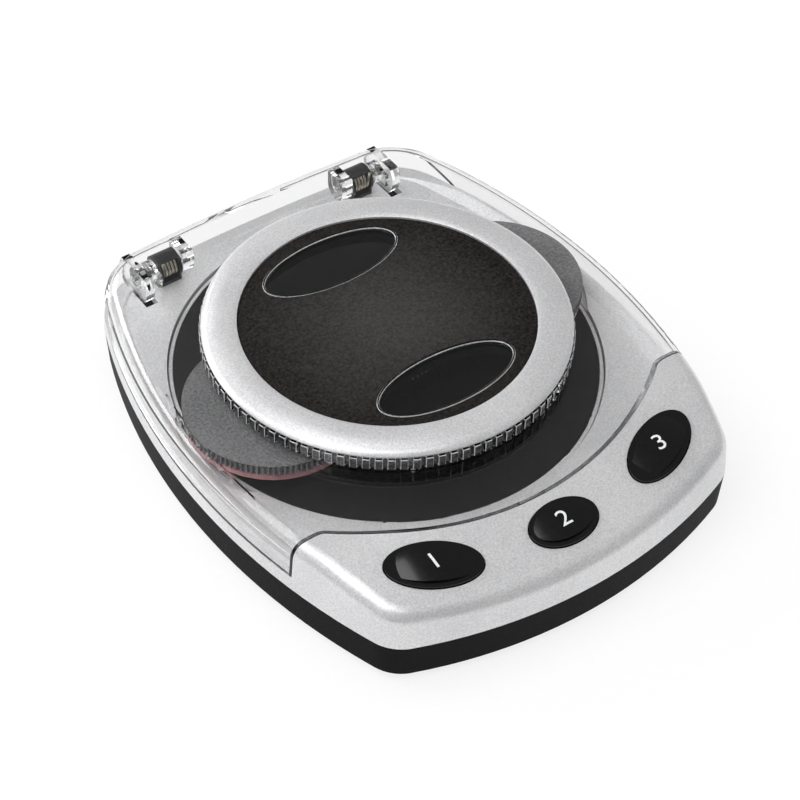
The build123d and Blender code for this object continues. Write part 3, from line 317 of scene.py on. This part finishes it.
def rubberSkin(name):
    look = rubberLooks[name]
    material, space = startMaterial(name)
    cells = addNode(material, "ShaderNodeTexVoronoi", {"Scale": perMetre(look["pitMm"]), "Randomness": 1.0},
                    {"Vector": space})
    cloud = addNode(material, "ShaderNodeTexNoise", {"Scale": perMetre(look["cloudMm"]), "Detail": 5.0},
                    {"Vector": space})
    tone = rampStops(addNode(material, "ShaderNodeValToRGB", {}, {"Fac": cloud.outputs["Fac"]}),
                     [(0.35, look["dark"]), (0.65, look["light"])])
    sheen = addNode(material, "ShaderNodeMapRange", {"To Min": look["roughness"],
                                                     "To Max": look["roughness"] - 0.15},
                    {"Value": cells.outputs["Distance"]})
    bump = addNode(material, "ShaderNodeBump", {"Strength": 0.4, "Distance": look["depth"] * mm},
                   {"Height": cells.outputs["Distance"]})
    shader = addNode(material, "ShaderNodeBsdfPrincipled", {"IOR": 1.5, "Specular IOR Level": 0.25},
                     {"Base Color": tone.outputs["Color"], "Roughness": sheen.outputs["Result"],
                      "Normal": bump.outputs["Normal"]})
    return endMaterial(material, shader)


# Pressed wool felt, dyed dusty rose: matted fibres, soft sheen at grazing angles. A real fibre is 0.02 mm
# and is drawn at 0.6 mm, so that it shows.
feltLook = {"light": "#b98386", "dark": "#7d454b", "fibreMm": 0.6, "clumpMm": 4, "fibreShare": 0.6,
            "nap": 0.2, "sheen": 0.5}


def dyedFelt():
    material, space = startMaterial("pressedFeltRose")
    fibre = addNode(material, "ShaderNodeTexNoise", {"Scale": perMetre(feltLook["fibreMm"]), "Detail": 6.0,
                                                     "Roughness": 0.75, "Distortion": 1.2},
                    {"Vector": space})
    clump = addNode(material, "ShaderNodeTexNoise", {"Scale": perMetre(feltLook["clumpMm"]), "Detail": 3.0},
                    {"Vector": space})
    blend = addNode(material, "ShaderNodeMix", {"data_type": "FLOAT", 0: feltLook["fibreShare"]},
                    {2: clump.outputs["Fac"], 3: fibre.outputs["Fac"]})
    tone = rampStops(addNode(material, "ShaderNodeValToRGB", {}, {"Fac": blend.outputs[0]}),
                     [(0.36, feltLook["dark"]), (0.64, feltLook["light"])])
    bump = addNode(material, "ShaderNodeBump", {"Strength": 0.8, "Distance": feltLook["nap"] * mm},
                   {"Height": fibre.outputs["Fac"]})
    shader = addNode(material, "ShaderNodeBsdfPrincipled",
                     {"Roughness": 0.95, "Sheen Weight": feltLook["sheen"], "Sheen Roughness": 0.5},
                     {"Base Color": tone.outputs["Color"], "Normal": bump.outputs["Normal"]})
    return endMaterial(material, shader)


# Glass-fibre board under green solder mask: the weave shows faintly through the gloss
boardLook = {"green": "#17543a", "darkThread": "#134a33", "paleField": "#1b5f41", "trace": "#2b7d54",
             "threadMm": 0.714, "fieldMm": 6.25, "traceDepth": 0.03}


def solderMask():
    material, space = startMaterial("fibreBoardSolderMask")
    weave = addNode(material, "ShaderNodeTexChecker",
                    {"Scale": perMetre(boardLook["threadMm"]), "Color1": linearColour(boardLook["green"]),
                     "Color2": linearColour(boardLook["darkThread"])}, {"Vector": space})
    traces = addNode(material, "ShaderNodeTexBrick",
                     {"Scale": perMetre(boardLook["fieldMm"]), "Color1": linearColour(boardLook["green"]),
                      "Color2": linearColour(boardLook["paleField"]), "Mortar": linearColour(boardLook["trace"]),
                      "Mortar Size": 0.03}, {"Vector": space})
    tone = addNode(material, "ShaderNodeMix", {"data_type": "RGBA", 0: 0.4},
                   {6: traces.outputs["Color"], 7: weave.outputs["Color"]})
    bump = addNode(material, "ShaderNodeBump", {"Strength": 0.2, "Distance": boardLook["traceDepth"] * mm},
                   {"Height": traces.outputs["Fac"]})
    shader = addNode(material, "ShaderNodeBsdfPrincipled", {"Roughness": 0.3, "IOR": 1.5},
                     {"Base Color": tone.outputs[2], "Normal": bump.outputs["Normal"]})
    return endMaterial(material, shader)


# Pad-printed white ink: slightly uneven and chalky
inkLook = {"light": "#e4e5e6", "dark": "#c9cacb", "patchMm": 0.667}


def printedInk():
    material, space = startMaterial("padPrintedWhiteInk")
    patch = addNode(material, "ShaderNodeTexNoise", {"Scale": perMetre(inkLook["patchMm"]), "Detail": 4.0},
                    {"Vector": space})
    tone = rampStops(addNode(material, "ShaderNodeValToRGB", {}, {"Fac": patch.outputs["Fac"]}),
                     [(0.3, inkLook["dark"]), (0.6, inkLook["light"])])
    shader = addNode(material, "ShaderNodeBsdfPrincipled", {"Roughness": 0.5, "IOR": 1.45},
                     {"Base Color": tone.outputs["Color"]})
    return endMaterial(material, shader)


# The finish of each carried-over node; a piece that stands for a node takes that node's
finishOf = {
    "silverLacquer": ["top_casing", "platter"],
    "silverRing": ["head_ring"],
    "charcoalAbsGrained": ["base_tray"],
    "blackAbsFineGrain": ["head_cap"],
    "blackNylonMoulded": ["spring_drum_left", "spring_drum_right", "wheel_carrier", "disc_hub",
                          "tact_switches", "dc_socket"],
    "greyAbsSandblasted": ["wheel_left", "wheel_right", "sun_gear"],
    "whiteAcetalMoulded": ["spindle_gear", "reduction_gear", "latch_slider"],
    "pianoBlack": ["clean_button", "open_button", "repair_button"],
    "clearPolycarbonateLid": ["lid_shell"],
    "clearPolycarbonateCollar": ["toothed_collar"],
    "clearAcrylicWindow": ["window_front", "window_rear"],
    "groundSteelShaft": ["spindle", "gear_axle", "motor_shaft", "wheel_axles", "hinge_pin_left",
                         "hinge_pin_right"],
    "zincPlatedSteel": ["casing_screws", "bracket_screws", "carrier_screws", "sun_gear_screw",
                        "motor_bracket"],
    "drawnSteelCan": ["drive_motor"],
    "oiledSpringWire": ["hinge_spring_left", "hinge_spring_right"],
    "turnedBrass": ["spindle_bush", "motor_pinion"],
    "blackEvaFoamMat": ["platter_mat"],
    "blackRubberFoot": ["rubber_feet"],
    "solderMask": ["circuit_board"],
}


def makeFinish(name):
    if name in plasticLooks:
        return mouldedPlastic(name)
    if name in clearLooks:
        return clearPlastic(name)
    if name in metalLooks:
        return bareMetal(name)
    if name in rubberLooks:
        return rubberSkin(name)
    if name == "silverRing":
        return silverLacquer("silverLacquerOnRing", silverLook["ringSprayEdge"] * mm)
    return {"silverLacquer": silverLacquer, "pianoBlack": pianoBlack, "solderMask": solderMask}[name]()


for finish, members in finishOf.items():
    material = makeFinish(finish)
    for member in members:
        mesh = cadNodes[member].data
        mesh.materials.clear()
        mesh.materials.append(material)
print("materials on the carried-over pieces:", len(finishOf))


def newPiece(name, mesh, material):
    piece = bpy.data.objects.new(name, mesh)
    bpy.context.scene.collection.objects.link(piece)
    mesh.materials.append(material)
    return piece


def bridge(shape, near, far, smooth=True):
    # quads between two closed rings with the same count of points
    for i in range(len(near)):
        j = (i + 1) % len(near)
        shape.faces.new((near[i], near[j], far[j], far[i])).smooth = smooth


def toMesh(shape, name):
    bmesh.ops.recalc_face_normals(shape, faces=shape.faces)
    mesh = bpy.data.meshes.new(name)
    shape.to_mesh(mesh)
    shape.free()
    return mesh


def lathe(name, centre, profile, steps):
    # turns a closed outline of (radius, z) points round an upright axis
    shape = bmesh.new()
    rings = []
    for step in range(steps):
        turn = 2 * math.pi * step / steps
        rings.append([shape.verts.new((centre[0] + r * math.cos(turn), centre[1] + r * math.sin(turn), z))
                      for r, z in profile])
    for step in range(steps):
        bridge(shape, rings[step], rings[(step + 1) % steps])
    return toMesh(shape, name)


# The two felt pads: soft rings with rolled edges, slightly uneven, and loose fibres round the rim
padLook = {"inner": 5.0, "edge": 0.7, "clearance": 0.2, "gapUnder": 0.05, "gapOver": 0.02, "ripple": 0.12,
           "steps": 220, "spans": 14, "fibres": 2600, "fibreLength": 0.5, "fibreHalf": 0.035,
           "fibreRoot": 0.25, "standsOut": 0.15}


def feltPad(name, node, body, centre):
    low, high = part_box(node)
    outer = (high.x - low.x) / 2 - padLook["clearance"] * mm
    inner, edge = padLook["inner"] * mm, padLook["edge"] * mm
    bottom, top = low.z + padLook["gapUnder"] * mm, high.z - padLook["gapOver"] * mm
    profile = []
    for radius, z, start in ((outer - edge, top - edge, 90), (outer - edge, bottom + edge, 0),
                             (inner + edge, bottom + edge, -90), (inner + edge, top - edge, -180)):
        for part in range(5):
            turn = math.radians(start - part * 22.5)
            profile.append((radius + edge * math.cos(turn), z + edge * math.sin(turn)))
    span = (outer - inner - 2 * edge) / padLook["spans"]
    wide = [(outer - edge - k * span, bottom) for k in range(1, padLook["spans"])]
    profile = profile[:10] + wide + profile[10:] + [(r, top) for r, z in reversed(wide)]
    mesh = lathe(name, centre, profile, padLook["steps"])
    for vertex in mesh.vertices:
        # a gentle unevenness, only inwards, so the pad keeps inside its own space
        wave = math.sin(vertex.co.x * 900) * math.sin(vertex.co.y * 700 + 1.3) * 0.5 + 0.5
        squeeze = padLook["ripple"] * mm * wave
        vertex.co.z += squeeze if vertex.co.z < (bottom + top) / 2 else 0
    shape = bmesh.new()
    shape.from_mesh(mesh)
    reach = padLook["fibreLength"] * mm
    for _ in range(padLook["fibres"]):
        turn = random.uniform(0, 2 * math.pi)
        z = random.uniform(bottom + 0.3 * edge, top - 0.1 * edge)
        lean = random.uniform(-0.6, 0.6)
        length = random.uniform(0.35, 1.0) * reach
        root = outer - padLook["fibreRoot"] * mm
        side = padLook["fibreHalf"] * mm / outer
        tip = min(root + length * math.cos(lean), outer + padLook["standsOut"] * mm)
        rise = max(bottom, min(top, z + length * math.sin(lean)))
        points = [(root, turn - side, z), (root, turn + side, z),
                  (tip, turn + random.uniform(-6, 6) * side, rise)]
        corners = [shape.verts.new((centre[0] + r * math.cos(a), centre[1] + r * math.sin(a), h))
                   for r, a, h in points]
        shape.faces.new(corners)
    shape.to_mesh(mesh)
    shape.free()
    pad = newPiece(name, mesh, feltMaterial)
    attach(pad, body)
    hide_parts(node)


feltMaterial = dyedFelt()
for side in ("left", "right"):
    low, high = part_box("pad_" + side)
    feltPad("feltPad" + side.capitalize(), "pad_" + side, side + "_wheel",
            ((low.x + high.x) / 2, (low.y + high.y) / 2))
print("felt pads made")

# Repair wheels: the same teeth as the solid, under a thin plain skin that closes the rim from above
wheelLook = {"teeth": 104, "module": 0.5, "tip": 0.85, "root": 1.10, "tipHalf": 0.40, "rootHalf": 0.98,
             "skin": 0.35, "edge": 0.1, "bore": 2.05, "line": 3.3, "roundLevels": (3, 4, 6)}


def repairWheel(name, node, body, facing):
    low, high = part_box(node)
    centre = ((low.x + high.x) / 2, (low.y + high.y) / 2)
    module, teeth = wheelLook["module"] * mm, wheelLook["teeth"]
    pitch = teeth * module / 2
    tip, root = pitch + wheelLook["tip"] * module, pitch - wheelLook["root"] * module
    outline = []
    for tooth in range(teeth):
        middle = math.radians(facing + 180 + 180 / teeth) + tooth * 2 * math.pi / teeth
        for radius, half, side in ((root, "rootHalf", -1), (tip, "tipHalf", -1),
                                   (tip, "tipHalf", 1), (root, "rootHalf", 1)):
            outline.append((radius, middle + side * wheelLook[half] * module / radius))
    bore, edge = wheelLook["bore"] * mm, wheelLook["edge"] * mm
    under = high.z - wheelLook["skin"] * mm
    # each level: its height, and the radius of a plain ring or None for the teeth
    levels = [(low.z, bore), (low.z, None), (under, None), (under, tip), (high.z - edge, tip),
              (high.z, tip - edge), (high.z, bore)]
    shape = bmesh.new()
    rings = [[shape.verts.new((centre[0] + (plain or r) * math.cos(a),
                               centre[1] + (plain or r) * math.sin(a), z))
              for r, a in outline] for z, plain in levels]
    for number, near in enumerate(rings):
        bridge(shape, near, rings[(number + 1) % len(rings)], number in wheelLook["roundLevels"])
    wheel = newPiece(name, toMesh(shape, name), cadNodes[node].data.materials[0])
    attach(wheel, body)
    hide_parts(node)


repairWheel("repairWheelLeft", "wheel_left", "left_wheel", wheelLook["line"] + 180)
repairWheel("repairWheelRight", "wheel_right", "right_wheel", wheelLook["line"])
print("repair wheels made")

# Clear collar: square teeth between two rails, each tooth with a bevel painted pale, a painted glint against the
# dark inside
collarLook = {"teeth": 96, "share": 0.62, "rail": 0.55, "inner": 53.3, "root": 54.2, "tip": 55.1, "bevel": 0.2}
# the colours of the painted glint on the clear parts' edges
edgeLook = {"light": "#f2f3f4", "dark": "#b4b6b9", "flowMm": 0.833, "flowDepth": 0.04, "roughness": 0.18,
            "clear": 0.35}


def glintEdge():
    # the moulded corner radii get a pale satin colour, a painted glint, so they read as pale satin lines
    material, space = startMaterial("clearPolycarbonateEdge")
    flow = addNode(material, "ShaderNodeTexNoise", {"Scale": perMetre(edgeLook["flowMm"]), "Detail": 3.0},
                   {"Vector": space})
    tone = rampStops(addNode(material, "ShaderNodeValToRGB", {}, {"Fac": flow.outputs["Fac"]}),
                     [(0.3, edgeLook["dark"]), (0.65, edgeLook["light"])])
    bump = addNode(material, "ShaderNodeBump", {"Strength": 0.4, "Distance": edgeLook["flowDepth"] * mm},
                   {"Height": flow.outputs["Fac"]})
    shader = addNode(material, "ShaderNodeBsdfPrincipled",
                     {"IOR": 1.5, "Roughness": edgeLook["roughness"], "Transmission Weight": edgeLook["clear"]},
                     {"Base Color": tone.outputs["Color"], "Normal": bump.outputs["Normal"]})
    return endMaterial(material, shader)


def crystalCollar():
    low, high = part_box("toothed_collar")
    inner, root, tip = (collarLook[key] * mm for key in ("inner", "root", "tip"))
    rail, step = collarLook["rail"] * mm, 2 * math.pi / collarLook["teeth"]
    half = step * collarLook["share"] / 2
    shape = bmesh.new()

    def ring(radius, z):
        return [shape.verts.new((radius * math.cos(a), wellY + radius * math.sin(a), z))
                for tooth in range(collarLook["teeth"]) for a in (tooth * step - half, tooth * step + half)]

    innerLow, innerHigh = ring(inner, low.z), ring(inner, high.z)
    rootRings = [ring(root, z) for z in (low.z, low.z + rail, high.z - rail, high.z)]
    tipLow, tipHigh = ring(tip, low.z + rail), ring(tip, high.z - rail)
    count = len(innerLow)
    for k in range(count):
        n = (k + 1) % count
        bands = [(innerLow, rootRings[0]), (rootRings[0], rootRings[1]), (rootRings[2], rootRings[3]),
                 (rootRings[3], innerHigh), (innerHigh, innerLow)]
        if k % 2:
            bands.append((rootRings[1], rootRings[2]))
        else:
            bands += [(rootRings[1], tipLow), (tipLow, tipHigh), (tipHigh, rootRings[2])]
        for first, second in bands:
            shape.faces.new((first[k], first[n], second[n], second[k]))
        shape.faces.new((rootRings[1][k], tipLow[k], tipHigh[k], rootRings[2][k]))
    corners = set(tipLow + tipHigh)
    sharp = [edge for edge in shape.edges if corners.intersection(edge.verts)]
    bmesh.ops.recalc_face_normals(shape, faces=shape.faces)
    bmesh.ops.bevel(shape, geom=sharp, offset=collarLook["bevel"] * mm, segments=1, affect="EDGES", material=1)
    mesh = bpy.data.meshes.new("crystalCollar")
    shape.to_mesh(mesh)
    shape.free()
    collar = newPiece("crystalCollar", mesh, cadNodes["toothed_collar"].data.materials[0])
    mesh.materials.append(edgeMaterial)
    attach(collar, "lid")
    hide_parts("toothed_collar")


edgeMaterial = glintEdge()
crystalCollar()
print("clear collar made")

# Oval windows: a clear pane with a raised round bead along its edge, whose flanks carry a painted glint as a fine
# double line
windowLook = {"long": 23.4, "short": 10.2, "bead": 0.4, "beadSides": 10, "steps": 160, "gap": 0.02,
              "glintBands": (2, 3, 4, 9, 10, 11)}


def ovalWindow(name, node):
    low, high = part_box(node)
    centre = Vector(((low.x + high.x) / 2, (low.y + high.y) / 2, 0))
    long, short, bead = (windowLook[key] * mm for key in ("long", "short", "bead"))
    shape = bmesh.new()

    def oval(inset, z):
        turns = (2 * math.pi * step / windowLook["steps"] for step in range(windowLook["steps"]))
        return [shape.verts.new((centre.x + (long - inset) * math.cos(a),
                                 centre.y + (short - inset) * math.sin(a), z)) for a in turns]

    # outline from the pane's underside, out round the bead and back to the sunk middle of the pane
    gap = windowLook["gap"] * mm
    profile = [(bead * 2, low.z + gap), (gap, low.z + gap)]
    for part in range(windowLook["beadSides"] + 1):
        turn = math.pi * part / windowLook["beadSides"]
        profile.append((bead - bead * math.cos(turn), high.z - bead + bead * math.sin(turn)))
    profile.append((bead * 2 + 0.05 * mm, high.z - bead - 0.05 * mm))
    rings = [oval(inset, z) for inset, z in profile]
    for near, far in zip(rings, rings[1:]):
        bridge(shape, near, far)
    shape.faces.new(rings[0])
    shape.faces.new(rings[-1])
    mesh = toMesh(shape, name)
    pane = newPiece(name, mesh, cadNodes[node].data.materials[0])
    mesh.materials.append(edgeMaterial)
    # the bead's two flanks take the painted glint and its crest stays dark, which gives the double line
    for face in mesh.polygons:
        band = face.index // windowLook["steps"]
        face.material_index = 1 if band in windowLook["glintBands"] else 0
    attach(pane, "lid")
    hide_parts(node)


ovalWindow("ovalWindowFront", "window_front")
ovalWindow("ovalWindowRear", "window_rear")
print("oval windows made")

# Hinge springs: round bright wire, wound close between the drum's cheeks
coilLook = {"wire": 0.8, "sides": 14, "radius": 3.2, "pitch": 1.15, "turns": 4.25, "stepsPerTurn": 48,
            "axisY": 78.8, "axisZ": 24.9, "middleX": 35.3, "footLeg": 3.2, "lidLeg": 3.9}


def hingeCoil(name, node, side):
    radius, pitch, turns = coilLook["radius"], coilLook["pitch"], coilLook["turns"]

    def spot(turned):
        angle = math.radians(-90 - 360 * turned)  # from the foot, at the bottom
        x = coilLook["middleX"] + pitch * (turned - turns / 2)
        return Vector((x, coilLook["axisY"] + radius * math.cos(angle),
                       coilLook["axisZ"] + radius * math.sin(angle)))

    steps = round(turns * coilLook["stepsPerTurn"])
    path = [spot(turns * step / steps) for step in range(steps + 1)]
    path.insert(0, path[0] + (path[0] - path[1]).normalized() * coilLook["footLeg"])
    path.append(path[-1] + (path[-1] - path[-2]).normalized() * coilLook["lidLeg"])
    shape = bmesh.new()
    across = Vector((1, 0, 0))
    rings = []
    for number, point in enumerate(path):
        way = (path[min(number + 1, len(path) - 1)] - path[max(number - 1, 0)]).normalized()
        across = (across - way * across.dot(way)).normalized()
        up = way.cross(across)
        ring = []
        for corner in range(coilLook["sides"]):
            turn = 2 * math.pi * corner / coilLook["sides"]
            place = point + (across * math.cos(turn) + up * math.sin(turn)) * coilLook["wire"] / 2
            ring.append(shape.verts.new((place.x * side * mm, place.y * mm, place.z * mm)))
        rings.append(ring)
    for near, far in zip(rings, rings[1:]):
        bridge(shape, near, far)
    shape.faces.new(rings[0])
    shape.faces.new(rings[-1])
    coil = newPiece(name, toMesh(shape, name), cadNodes[node].data.materials[0])
    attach(coil, "base")
    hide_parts(node)


hingeCoil("hingeCoilRight", "hinge_spring_right", 1)
hingeCoil("hingeCoilLeft", "hinge_spring_left", -1)
print("hinge coils made")

# Plain numbers printed on the domed buttons
numberLook = {"fontSize": 7.02, "lift": 0.03, "spread": 1.15, "cuts": 4, "above": 60}


def printedNumber(text, node, body):
    low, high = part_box(node)
    middle = ((low.x + high.x) / 2, (low.y + high.y) / 2)
    source = cadNodes[node].data
    tree = BVHTree.FromPolygons([v.co.copy() for v in source.vertices], [p.vertices[:] for p in source.polygons])
    curve = bpy.data.curves.new("number" + text, "FONT")
    curve.body = text
    curve.align_x = "CENTER"
    curve.align_y = "CENTER"
    curve.size = numberLook["fontSize"] * mm
    curve.resolution_u = 6
    holder = bpy.data.objects.new("holder", curve)
    bpy.context.scene.collection.objects.link(holder)
    bpy.context.view_layer.update()
    mesh = bpy.data.meshes.new_from_object(holder)
    bpy.data.objects.remove(holder)
    shape = bmesh.new()
    shape.from_mesh(mesh)
    bmesh.ops.triangulate(shape, faces=shape.faces)
    bmesh.ops.subdivide_edges(shape, edges=shape.edges, cuts=numberLook["cuts"], use_grid_fill=True)
    for vertex in shape.verts:
        # each point drops onto the button's own dome
        x, y = middle[0] + vertex.co.x * numberLook["spread"], middle[1] + vertex.co.y
        hit = tree.ray_cast(Vector((x, y, numberLook["above"] * mm)), Vector((0, 0, -1)))
        vertex.co = (x, y, hit[0].z + numberLook["lift"] * mm)
    shape.to_mesh(mesh)
    shape.free()
    mesh.name = "printedNumber" + text
    mark = newPiece("printedNumber" + text, mesh, inkMaterial)
    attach(mark, body)


inkMaterial = printedInk()
printedNumber("1", "clean_button", "clean_key")
printedNumber("2", "open_button", "open_key")
printedNumber("3", "repair_button", "repair_key")
print("numbers printed on the buttons")

# Floor, light and camera. The two fills lift the sides and are kept out of the gloss buttons.
studio = {"paper": "#f4f4f4", "paperTooth": "#efefef", "toothMm": 2.5, "floorSize": 8.0, "glow": 0.8,
          "fadeFrom": 0.2, "fadeTo": 0.9, "ambient": 0.5, "mirrored": 0.18, "aimAt": (0, 0, 0.02)}
softboxes = {
    "topSoftbox": {"place": (-0.3, 0.05, 0.9), "size": (0.8, 0.8), "power": 4.9, "inGloss": True},
    "rearStrip": {"place": (-0.35, 0.8, 0.5), "size": (0.9, 0.25), "power": 4.4, "inGloss": True},
    "rightFill": {"place": (0.8, 0.0, 0.5), "size": (0.4, 0.6), "power": 2.6, "inGloss": False},
    "leftFill": {"place": (-0.75, -0.15, 0.5), "size": (0.5, 0.5), "power": 1.6, "inGloss": False},
}


def studioFloor():
    mesh = bpy.data.meshes.new("studioFloor")
    half = studio["floorSize"] / 2
    mesh.from_pydata([(-half, -half, 0), (half, -half, 0), (half, half, 0), (-half, half, 0)], [],
                     [(0, 1, 2, 3)])
    material, space = startMaterial("paperSweep")
    tooth = addNode(material, "ShaderNodeTexNoise", {"Scale": perMetre(studio["toothMm"]), "Detail": 3.0},
                    {"Vector": space})
    tone = rampStops(addNode(material, "ShaderNodeValToRGB", {}, {"Fac": tooth.outputs["Fac"]}),
                     [(0.3, studio["paperTooth"]), (0.7, studio["paper"])])
    paper = addNode(material, "ShaderNodeBsdfDiffuse", {"Roughness": 0.6}, {"Color": tone.outputs["Color"]})
    glow = addNode(material, "ShaderNodeEmission", {"Color": plainWhite, "Strength": 1.0})
    path = addNode(material, "ShaderNodeLightPath")
    near = addNode(material, "ShaderNodeMath", {"operation": "MAXIMUM"},
                   {0: path.outputs["Is Camera Ray"], 1: path.outputs["Is Transmission Ray"]})
    seen = addNode(material, "ShaderNodeMath", {"operation": "MAXIMUM"},
                   {0: near.outputs[0], 1: path.outputs["Is Glossy Ray"]})
    # far from the object the paper fades to plain white, so no horizon shows
    away = addNode(material, "ShaderNodeVectorMath", {"operation": "LENGTH"}, {0: space})
    fade = addNode(material, "ShaderNodeMapRange", {"From Min": studio["fadeFrom"], "From Max": studio["fadeTo"],
                                                    "To Min": studio["glow"], "To Max": 1.0},
                   {"Value": away.outputs["Value"]})
    share = addNode(material, "ShaderNodeMath", {"operation": "MULTIPLY"},
                    {0: seen.outputs[0], 1: fade.outputs["Result"]})
    mixed = addNode(material, "ShaderNodeMixShader", {},
                    {0: share.outputs[0], 1: paper.outputs[0], 2: glow.outputs[0]})
    floor = newPiece("studioFloor", mesh, endMaterial(material, mixed))


def studioWorld():
    world = bpy.data.worlds.new("studioWorld")
    bpy.context.scene.world = world
    world.use_nodes = True
    world.node_tree.nodes.clear()
    path = addNode(world, "ShaderNodeLightPath")
    # light that has bounced under the clear lid sees the dim world, or else the lid would look milky
    bounced = addNode(world, "ShaderNodeMath", {"operation": "ADD"},
                      {0: path.outputs["Diffuse Depth"], 1: path.outputs["Glossy Depth"]})
    straight = addNode(world, "ShaderNodeMath", {"operation": "LESS_THAN", 1: 0.5}, {0: bounced.outputs[0]})
    through = addNode(world, "ShaderNodeMath", {"operation": "MULTIPLY"},
                      {0: path.outputs["Is Transmission Ray"], 1: straight.outputs[0]})
    seen = addNode(world, "ShaderNodeMath", {"operation": "MAXIMUM"},
                   {0: path.outputs["Is Camera Ray"], 1: through.outputs[0]})
    # polished faces mirror a dimmer room than the one that fills the shadows
    level = addNode(world, "ShaderNodeMapRange", {"To Min": studio["ambient"], "To Max": studio["mirrored"]},
                    {"Value": path.outputs["Is Glossy Ray"]})
    dim = addNode(world, "ShaderNodeBackground", {"Color": plainWhite}, {"Strength": level.outputs["Result"]})
    white = addNode(world, "ShaderNodeBackground", {"Color": plainWhite, "Strength": 1.0})
    mixed = addNode(world, "ShaderNodeMixShader", {},
                    {0: seen.outputs[0], 1: dim.outputs[0], 2: white.outputs[0]})
    addNode(world, "ShaderNodeOutputWorld", {}, {"Surface": mixed.outputs[0]})


def hangSoftbox(name, place, size, power, inGloss):
    lamp = bpy.data.lights.new(name, "AREA")
    lamp.shape = "RECTANGLE"
    lamp.size, lamp.size_y = size
    lamp.energy = power
    box = bpy.data.objects.new(name, lamp)
    box.location = place
    box.rotation_mode = "QUATERNION"
    box.rotation_quaternion = (Vector(studio["aimAt"]) - Vector(place)).to_track_quat("-Z", "Y")
    box.visible_glossy = inGloss
    bpy.context.scene.collection.objects.link(box)


studioFloor()
studioWorld()
for name, settings in softboxes.items():
    hangSoftbox(name, **settings)

# Camera fitted to the photograph's view: degrees, and millimetres from the target
cameraFit = {"azimuth": -36.348, "elevation": 45.663, "roll": 1.580, "distance": 763.9,
             "target": (-5.98, -3.92, 20.0), "lens": 117.48, "sensor": 36.0, "clip": (0.05, 20)}


def photoCamera():
    turn, lift = math.radians(cameraFit["azimuth"]), math.radians(cameraFit["elevation"])
    back = Vector((math.sin(turn) * math.cos(lift), -math.cos(turn) * math.cos(lift), math.sin(lift)))
    right = (-back).cross(Vector((0, 0, 1))).normalized()
    up = right.cross(-back)
    roll = math.radians(cameraFit["roll"])
    sideways = right * math.cos(roll) + up * math.sin(roll)
    upright = up * math.cos(roll) - right * math.sin(roll)
    data = bpy.data.cameras.new("photoCamera")
    data.lens = cameraFit["lens"]
    data.sensor_width = cameraFit["sensor"]
    data.clip_start, data.clip_end = cameraFit["clip"]
    camera = bpy.data.objects.new("photoCamera", data)
    place = (Vector(cameraFit["target"]) + back * cameraFit["distance"]) * mm
    camera.matrix_world = Matrix((
        (sideways.x, upright.x, back.x, place.x),
        (sideways.y, upright.y, back.y, place.y),
        (sideways.z, upright.z, back.z, place.z),
        (0, 0, 0, 1)))
    bpy.context.scene.collection.objects.link(camera)
    bpy.context.scene.camera = camera


photoCamera()
bpy.context.scene.view_settings.view_transform = "Standard"
print("studio and camera ready")
